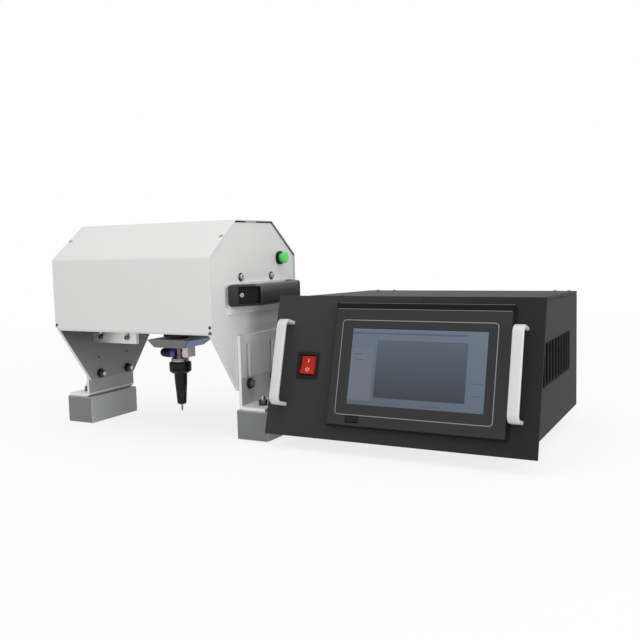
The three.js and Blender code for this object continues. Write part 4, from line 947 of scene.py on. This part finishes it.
# %% Marking pen
PEN = (36.5, 55, 0)
neck = [(0, 96.6), (11.1, 96.6), (11.5, 97), (11.5, 98.4), (11.1, 98.7), (11.5, 99), (11.5, 100.6),
        (11.1, 101), (4.6, 101), (4.6, 101.5), (0, 101.5)]
piece("neck_ring", turned(neck, PEN, steps=64), "dull_steel", "carriage", ["pen_neck"])
stem = [(0, 101.3), (4.5, 101.3), (4.5, 104.6), (4.2, 104.9), (4.2, 105.5), (4.5, 105.8), (4.5, 116.8),
        (0, 116.8)]
piece("air_stem", turned(stem, PEN, steps=40), "brass", "carriage")
collar = [(8.9, 81.6), (11.2, 81.6), (11.6, 81.8), (14.3, 84.4), (14.5, 84.9), (14.5, 86.4), (14.1, 86.8),
          (14.1, 87.4), (14.5, 87.8), (14.5, 94.6), (14.2, 95.4), (13.2, 96.2), (13, 96.3), (8.9, 96.3),
          (8.9, 81.6)]
piece("grip_collar", turned(collar, PEN, steps=72), "black_plastic", "carriage", ["pen_collar"])
barrel = [(1.6, 39.9), (4.7, 39.9), (5, 40.1), (6, 41.4), (6.9, 54.5), (6.75, 54.8), (6.8, 55.4), (7, 55.7),
          (8, 68), (8.6, 81.6), (8.6, 96.2), (5.6, 96.2), (5.6, 50), (1.6, 50), (1.6, 39.9)]
piece("pen_barrel", turned(barrel, PEN, steps=64), "black_plastic", "carriage", ["pen_body"])
point = [(0, 30.2), (0.25, 30.25), (0.4, 30.45), (1.3, 33.2), (1.3, 61.7), (5, 61.7), (5.1, 61.8),
         (5.1, 68.6), (5, 68.7), (0, 68.7)]
piece("pin_and_head", turned(point, PEN, steps=40), "pin_steel", "pin", ["marking_pin"])

# %% [markdown]
# Inside the barrel a wire spring pushes the pin back up after each stroke. Its lowest coil rests on
# the barrel's floor and its highest coil goes with the pin's head, so the spring has to get shorter
# by the stroke.

# %% Return spring
def coil(low, high, radius, wire, turns, at):
    """Path: (r cos a, r sin a), its height growing evenly from low to high; section: a ring of the wire."""
    share = np.linspace(0, 1, 24 * turns + 1)
    angle = 2 * np.pi * turns * share
    path = np.stack([radius * np.cos(angle), radius * np.sin(angle), low + (high - low) * share], -1) + at
    around = np.linspace(0, 2 * np.pi, 8, endpoint=False)
    return swept(path, wire * np.stack([np.cos(around), np.sin(around)], -1), (0, 0, 1))


WIRE, STROKE, TURNS = 0.45, 6.0, 5
spring_low, spring_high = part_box("pin_spring")
width, length = (spring_high.x - spring_low.x) * 1000, (spring_high.z - spring_low.z) * 1000
wound = coil(spring_low.z * 1000 + WIRE, spring_high.z * 1000 - WIRE, width / 2 - WIRE, WIRE, TURNS, PEN)
spring = piece("return_spring", wound, "turned_steel", "carriage", ["pin_spring"])
foot = ((spring_low.x + spring_high.x) / 2, (spring_low.y + spring_high.y) / 2, spring_low.z)
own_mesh(spring)
print("spring length", round(length, 2), "mm, pressed", round(length - STROKE, 2), "mm")

# %% [markdown]
# Air comes to the pen through a push-in fitting: pressing its blue ring lets go of the hose. The
# black elbow turns on the ring and has a sleeve over its end. Its body ends in a half sphere, and
# its branch is a short tube.

# %% Air fitting
FITTING = (0, 55, 107.5)
ring = [(0, 19.2), (5.6, 19.2), (5.6, 24), (6, 24), (6.4, 24.4), (6.4, 31.2), (6, 31.7), (0, 31.7)]
piece("release_ring", turned(ring, FITTING, "x", 48), "blue_ring", "carriage", ["air_fitting_ring"])
ball = [(6 * math.sin(a), 11.4 - 6 * math.cos(a)) for a in np.linspace(0, math.pi / 2, 9)]
run = ball + [(6.4, 17.5), (6.4, 23.3), (6.1, 23.6), (5.8, 23.6), (5.8, 18.9), (0, 18.9)]
branch = [(0, 55), (4.6, 55), (4.6, 68.4), (4.2, 69), (3.4, 69), (3, 68.7), (3, 61.1), (0, 61.1)]
elbow = together(turned(run, FITTING, "x", 48), turned(branch, (11.4, 0, FITTING[2]), "y", 48))
piece("swivel_elbow", elbow, "black_plastic", "elbow", ["air_elbow"])

# %% [markdown]
# Both units are joined by a cable, and the head needs air, so there are round sockets on the backs:
# a square flange with four screws, a threaded barrel, and contact pins on a black insert inside.

# %% Round sockets
def round_socket(x, y, z, word, node):
    """Flange = rounded square carried along Y; barrel = turned profile whose rim rings are its thread."""
    at = (x, y, z)
    square = rounded(rectangle(x - 13, z - 13, x + 13, z + 13), 3)
    flange = extruded(square[:, ::-1], y, y + 2, "y")
    crests = [(9.5 - 0.45 * (i % 2), 3.6 + 0.55 * i) for i in range(14)]
    barrel = [(0, -12), (8.9, -12), (9.3, -11.6), (9.3, 0), (9.3, 3), *crests,
              (9.4, 11.6), (9, 12), (7.4, 12), (7, 11.6), (7, 3), (0, 3)]
    screws = [button_screw((x + a, y + 2, z + b), "y", 1.7, 0.9) for a in (-9.8, 9.8) for b in (-9.8, 9.8)]
    shell = together(flange, turned(barrel, at, "y", 56), *screws)
    piece(f"{word}_shell", shell, "bright_steel", replaces=[node])
    insert = [(0, 3), (7, 3), (7, 6), (6.7, 6.3), (0, 6.3)]
    piece(f"{word}_insert", turned(insert, at, "y", 40), "black_plastic")
    pin = [(0, 6), (0.6, 6), (0.6, 9.6), (0.35, 10), (0, 10.1)]
    pins = [turned(pin, (x + 3.6 * math.cos(a), y, z + 3.6 * math.sin(a)), "y", 12)
            for a in np.arange(6) * math.pi / 3]
    piece(f"{word}_pins", together(*pins), "brass")


round_socket(-60, 206.3, 205, "head_cable", "head_socket")
round_socket(310, 330.3, 60, "box_cable", "box_socket")
key, corner = hexagon(14.6), hexagon(13.8)
hose = [(0, -8), (5.7, -8), (5.7, 0), (corner, 0), (key, 0.5), (key, 6.5), (corner, 7), (5.2, 7), (5.2, 8),
        (6, 8.4), (6, 14.4), (5.6, 15), (3.4, 15), (3, 14.6), (3, 3), (0, 3)]
piece("air_inlet_fitting", turned(hose, (-15, 206.3, 205), "y", 48), "brass", replaces=["air_inlet"])

# %% [markdown]
# The control box has two white grab handles: flat bars bent twice. The section is a rectangle with
# round corners, carried along a path whose corners are arcs, and it is laid out on the panel.

# %% Grab handles
bar = rounded(rectangle(-6.2, -2.25, 6.2, 2.25), 1.5, 6)
bend = rounded(rectangle(0.3, 37.55, 21.05, 137.75), 7.75, 12, False)
for word, u in (("left", 20.0), ("right", 306.8)):
    path = np.stack([np.full(len(bend), u), bend[:, 1], bend[:, 0]], -1)
    piece(f"grab_bar_{word}", swept(path, bar, (1, 0, 0)), "grab_white", replaces=[f"grab_handle_{word}"],
          place=panel)

# %% [markdown]
# The screen housing has a thin silver line round the glass. Two bright strips along its top edge,
# one on the rim and one on the face, are painted highlights. All three are flat strips that stand
# only tenths of a millimetre proud, so they are real geometry.

# %% Silver line
def frame_line(low, high, radius, width, base, top):
    """Two rounded rectangles, one inside the other, joined by four closed rings."""
    outer = rounded(rectangle(*low, *high), radius, 10)
    inner = rounded(rectangle(*np.add(low, width), *np.subtract(high, width)), radius - width, 10)
    rings = [np.column_stack([line, np.full(len(line), n)])
             for line, n in ((outer, base), (outer, top), (inner, top), (inner, base))]
    return np.vstack(rings), quads(4, len(outer), True)


silver = frame_line((95.5, 30.3), (282.7, 142.2), 4.5, 1.0, 7.2, 7.45)
piece("silver_frame", silver, "silver_line", place=panel)
# Two bright strips as painted highlights along the top edges of the rim and of the face.
highlight_strips = together(block((86, 162.6, 0), (297, 163.3, 2.0)), block((87.5, 154.8, 7.2), (295.5, 155.3, 7.4)))
piece("edge_highlights", highlight_strips, "silver_line", place=panel)
print("silver line done")

# %% [markdown]
# The screen shows the machine's own working page. The page is a few rectangles, each a product of
# comparisons, laid over one another from back to front. Their places are shares of the lit area,
# across and up, which the glass will carry as a UV map.

# %% Screen page
page = Finish("screen", srgb(16, 18, 20), 0.16, Specular_IOR_Level=0.3, Coat_Weight=0.2, Coat_Roughness=0.05,
              Emission_Strength=0.72)
where = page.node("ShaderNodeUVMap", {"uv_map": "page"})
across, rise = (page.node("ShaderNodeSeparateXYZ", {}, {"Vector": where}, output=axis) for axis in (0, 1))


def patch(left, low, right, high):
    """1 inside the rectangle and 0 outside: the product of four comparisons."""
    return (across > left) * (across < right) * (rise > low) * (rise < high)


ground = page.mix(rise, srgb(88, 97, 112), srgb(106, 122, 140))
ground = page.mix(across * 0.5, ground, srgb(112, 130, 148))
left_panel = page.mix(rise, srgb(110, 118, 130), srgb(116, 124, 136))
middle = page.mix(rise, srgb(40, 46, 54), srgb(92, 106, 122))
picture = page.mix(patch(0.0, 0.06, 0.178, 0.735), ground, left_panel)
picture = page.mix(patch(0.2, 0.105, 0.868, 0.855), picture, middle)
picture = page.mix(patch(0.0, 0.93, 0.86, 0.955), picture, srgb(84, 98, 126))
for left, low, right, high in ((0.03, 0.66, 0.1, 0.675), (0.03, 0.585, 0.095, 0.6), (0.9, 0.35, 0.985, 0.36),
                               (0.9, 0.2, 0.975, 0.21), (0.26, 0.03, 0.4, 0.045), (0.55, 0.03, 0.7, 0.045)):
    picture = page.mix(patch(left, low, right, high), picture, srgb(84, 94, 122))
page.set(Emission_Color=picture)
print("screen page uses", len(page.tree.nodes), "nodes")

# %% [markdown]
# The glass is a thin block on the panel. Its UV map runs from 0 to 1 over the lit area: u is the way
# across, and v is the way up the leaning panel, worked out from each corner's y and z.

# %% Screen glass
GLASS_LOW, GLASS_HIGH = (109.8, 43.1), (271.3, 131.9)
pane = block((*GLASS_LOW, 5.6), (*GLASS_HIGH, 6.8))
glass = piece("screen_panel", pane, "screen", replaces=["screen_glass"], place=panel)
width, height = np.subtract(GLASS_HIGH, GLASS_LOW) / 1000
x, y, z = (np.array([vertex.co for vertex in glass.data.vertices]) - panel([*GLASS_LOW, 0])).T
flat = np.stack([x / width, (y * math.sin(LEAN) + z * math.cos(LEAN)) / height], -1)
uv = glass.data.uv_layers.new(name="page")
uv.data.foreach_set("uv", flat[[loop.vertex_index for loop in glass.data.loops]].ravel())
print("lit area", round(width * 1000, 1), "by", round(height * 1000, 1), "mm")

# %% [markdown]
# The mains switch is a lit rocker that rests with its upper half pressed in. Its section is drawn
# once, as a shallow dish. It is tipped by nine degrees about its pivot and laid out on the panel.

# %% Rocker switch
TIP = math.radians(9)
HALF, VALLEY, DISH = 11.2, 2.15, 1.5


def rocker_place(points):
    """Rocker drawing (u, up, out) -> panel: tip about the pivot, then move to the switch's middle."""
    u, up, out = np.moveaxis(np.asarray(points, float), -1, 0)
    y = -out * math.cos(TIP) + up * math.sin(TIP)
    v = out * math.sin(TIP) + up * math.cos(TIP)
    return panel(np.stack([50.5 + u, 86.1 + v, -(y + 2.2)], -1))


def dish(share):
    """How far the dished face stands out: the valley's height + 1.5 mm * |share of the half| ^ 1.6."""
    return VALLEY + DISH * np.abs(share) ** 1.6


dished = [(HALF * share, dish(share)) for share in np.linspace(1, -1, 25)]
section = [(0, -1.25), (HALF / 2, -1.25), (HALF, 1.25)] + dished + [(-HALF, 1.25), (-HALF / 2, -1.25)]
lever = piece("rocker_lever", extruded(section, -9.7, 9.7, "x"), "red_plastic", "rocker", ["power_rocker"],
              rocker_place)
bevelled(lever, 0.5, 3, 50)

# %% [markdown]
# The two marks are printed on the rocker, a stroke on its upper half and a ring on its lower half.
# They follow the dish and stand 0.2 mm proud of it.

# %% Rocker marks
def raised(outline, up):
    """A mark's flat outline (u, up), once just under the dished face and once just above it."""
    u, rise = np.asarray(outline, float).T
    out = dish((rise + up) / HALF)
    return [np.column_stack([u, rise + up, out + proud]) for proud in (-0.3, 0.2)]


def mark(up, outline, hole=None):
    """Rings below and above the face: two for a solid mark, four closed ones for a mark with a hole."""
    count = len(outline)
    low, high = raised(outline, up)
    if hole is None:
        return np.vstack([low, high]), quads(2, count) + caps(count, 2 * count)
    hole_low, hole_high = raised(hole, up)
    return np.vstack([low, high, hole_high, hole_low]), quads(4, count, True)


turn = np.linspace(0, 2 * np.pi, 33)[:-1]
circle = np.stack([np.cos(turn), np.sin(turn)], -1)
stroke = rounded(rectangle(-0.5, -2.2, 0.5, 2.2), 0.3, 4)
marks = together(mark(5.4, stroke), mark(-5.6, circle * 2.3, circle * 1.5))
piece("rocker_marks", marks, "mark_white", "rocker", place=rocker_place)
print("marks done")

# %% [markdown]
# Last come the small parts of the box: rubber feet, the lid's screws, black strips over the thin
# webs between the slots of the side vents as painted shade, and the metal prongs and screws of the
# mains inlet.

# %% Small parts of the box
foot = [(0, 0), (8, 0), (8.5, 0.5), (9.95, 18.6), (9.8, 19.1), (0, 19.1)]
feet = [(x, y, 0) for x in (222.2, 463.9) for y in (115.1, 300.0)]
for i, at in enumerate(feet, 1):
    piece(f"rubber_foot_{i}", turned(foot, at, steps=48), "foot_rubber", replaces=[f"box_foot_{i}"])
lid_screws = [button_screw((x, 312, 174.5), "z", 3.2, 1.7) for x in (210, 236, 469, 487)]
rear_screws = [button_screw((x, 330, 165.5), "y", 2.4, 1.2) for x in (204, 482)]
piece("lid_screws", together(*lid_screws, *rear_screws), "dark_steel")
# Near-black strips over the vent webs are painted shade.
shaded_webs = [block((x - 0.25, y - 3.25, 75.7), (x + 0.25, y + 3.25, 126.7))
        for x in (192.2, 493.9) for y in 134 + 16.5 * np.arange(9)]
piece("vent_shade_bars", together(*shaded_webs), "vent_shade_black")
prongs = [block((x - 1, 319.6, 61), (x + 1, 328.6, 65)) for x in (233, 240, 247)]
inlet_screws = [button_screw((x, 333.3, 60), "y", 2.2, 1.1) for x in (219.5, 260.5)]
piece("inlet_metal", together(*prongs, *inlet_screws), "bright_steel")

# %% [markdown]
# The machine stands on a pale floor that fades into a white background. The floor keeps the
# shadow near the machine. Further out it gives off plain white to the camera, so no edge shows.

# %% Floor
FLOOR = 6
floor_mesh = bpy.data.meshes.new("floor")
floor_mesh.from_pydata([(x, y, 0) for x, y in rectangle(-FLOOR, -FLOOR, FLOOR, FLOOR)], [], [(0, 1, 2, 3)])
floor = put("floor", floor_mesh)
pale = Finish("floor_white", (0.86, 0.86, 0.86, 1.0), 0.9)
seen = pale.node("ShaderNodeLightPath", output="Is Camera Ray") \
    + pale.node("ShaderNodeLightPath", output="Is Glossy Ray")
distance = pale.node("ShaderNodeVectorMath", {"operation": "LENGTH"}, {0: pale.place()}, output="Value")
far = pale.node("ShaderNodeMath", {"operation": "MULTIPLY", "use_clamp": True}, {0: distance, 1: 0.55})
glow = pale.tree.nodes.new("ShaderNodeEmission")
blend = pale.tree.nodes.new("ShaderNodeMixShader")
pale.fill(blend.inputs[0], seen * (far * 0.22 + 0.78))
pale.tree.links.new(pale.shader.outputs[0], blend.inputs[1])
pale.tree.links.new(glow.outputs[0], blend.inputs[2])
pale.tree.links.new(blend.outputs[0], pale.out.inputs[0])
floor_mesh.materials.append(finishes["floor_white"])
print("floor", 2 * FLOOR, "m wide")

# %% [markdown]
# The light is a white room with a large soft lamp above, one at the right and a weak one in front.
# The world is plain white to the camera and to mirrors, and dimmer as a source of light.

# %% Light
world = bpy.data.worlds.new("white room")
bpy.context.scene.world = world
world.use_nodes = True
room = world.node_tree
room.nodes.clear()
rays, choose = room.nodes.new("ShaderNodeLightPath"), room.nodes.new("ShaderNodeMixShader")
direct = rays.outputs["Is Camera Ray"]
for kind in ("Is Transmission Ray", "Is Glossy Ray"):
    either = room.nodes.new("ShaderNodeMath")
    either.operation = "MAXIMUM"
    room.links.new(direct, either.inputs[0])
    room.links.new(rays.outputs[kind], either.inputs[1])
    direct = either.outputs[0]
room.links.new(direct, choose.inputs[0])
for socket, strength in ((1, 0.62), (2, 1.0)):
    white = room.nodes.new("ShaderNodeBackground")
    white.inputs["Color"].default_value, white.inputs["Strength"].default_value = (1, 1, 1, 1), strength
    room.links.new(white.outputs[0], choose.inputs[socket])
room.links.new(choose.outputs[0], room.nodes.new("ShaderNodeOutputWorld").inputs[0])


def lamp(name, at, aim, size, power):
    """A square area lamp at a place in metres, turned to look at its aim."""
    light = bpy.data.lights.new(name, "AREA")
    light.shape, light.size, light.energy = "SQUARE", size, power
    item = put(name, light)
    item.location = at
    item.rotation_euler = Vector(np.subtract(aim, at)).to_track_quat("-Z", "Y").to_euler()


lamp("soft box above", (0.2, -0.7, 2.1), (-0.05, 0, 0.15), 1.6, 17)
lamp("soft box right", (2.1, -0.7, 0.9), (0, 0, 0.15), 1.2, 18)
lamp("soft box front", (0.62, -1.8, 0.4), (0, 0, 0.1), 0.7, 2.6)
print("light done")

# %% [markdown]
# The camera stands where the photographer stood. Its place and turn were worked out from the
# perspective of the straight edges: 28 degrees to the right, 5.3 degrees above, tipped 1.5 degrees.

# %% Camera
AZIMUTH, ELEVATION, ROLL = math.radians(28.0278), math.radians(5.3185), math.radians(-1.5052)
CAMERA_AT, FOCAL, SENSOR = (689.6, -776.1, 243.3), 44.68, 36
forward = np.array([-math.sin(AZIMUTH) * math.cos(ELEVATION), math.cos(AZIMUTH) * math.cos(ELEVATION),
                    -math.sin(ELEVATION)])
level = np.array([math.cos(AZIMUTH), math.sin(AZIMUTH), 0])
upright = np.cross(level, forward)
right = level * math.cos(ROLL) + upright * math.sin(ROLL)
above = upright * math.cos(ROLL) - level * math.sin(ROLL)
lens = bpy.data.cameras.new("camera")
lens.sensor_width, lens.lens, lens.clip_start = SENSOR, FOCAL, 0.01
camera = put("camera", lens)
turned_to = Matrix(np.stack([right, above, -forward], -1).tolist()).to_4x4()
camera.matrix_world = Matrix.Translation(head(CAMERA_AT)) @ turned_to
bpy.context.scene.camera = camera
bpy.context.scene.view_settings.view_transform = "Standard"
print("camera at", [round(v, 3) for v in camera.location])
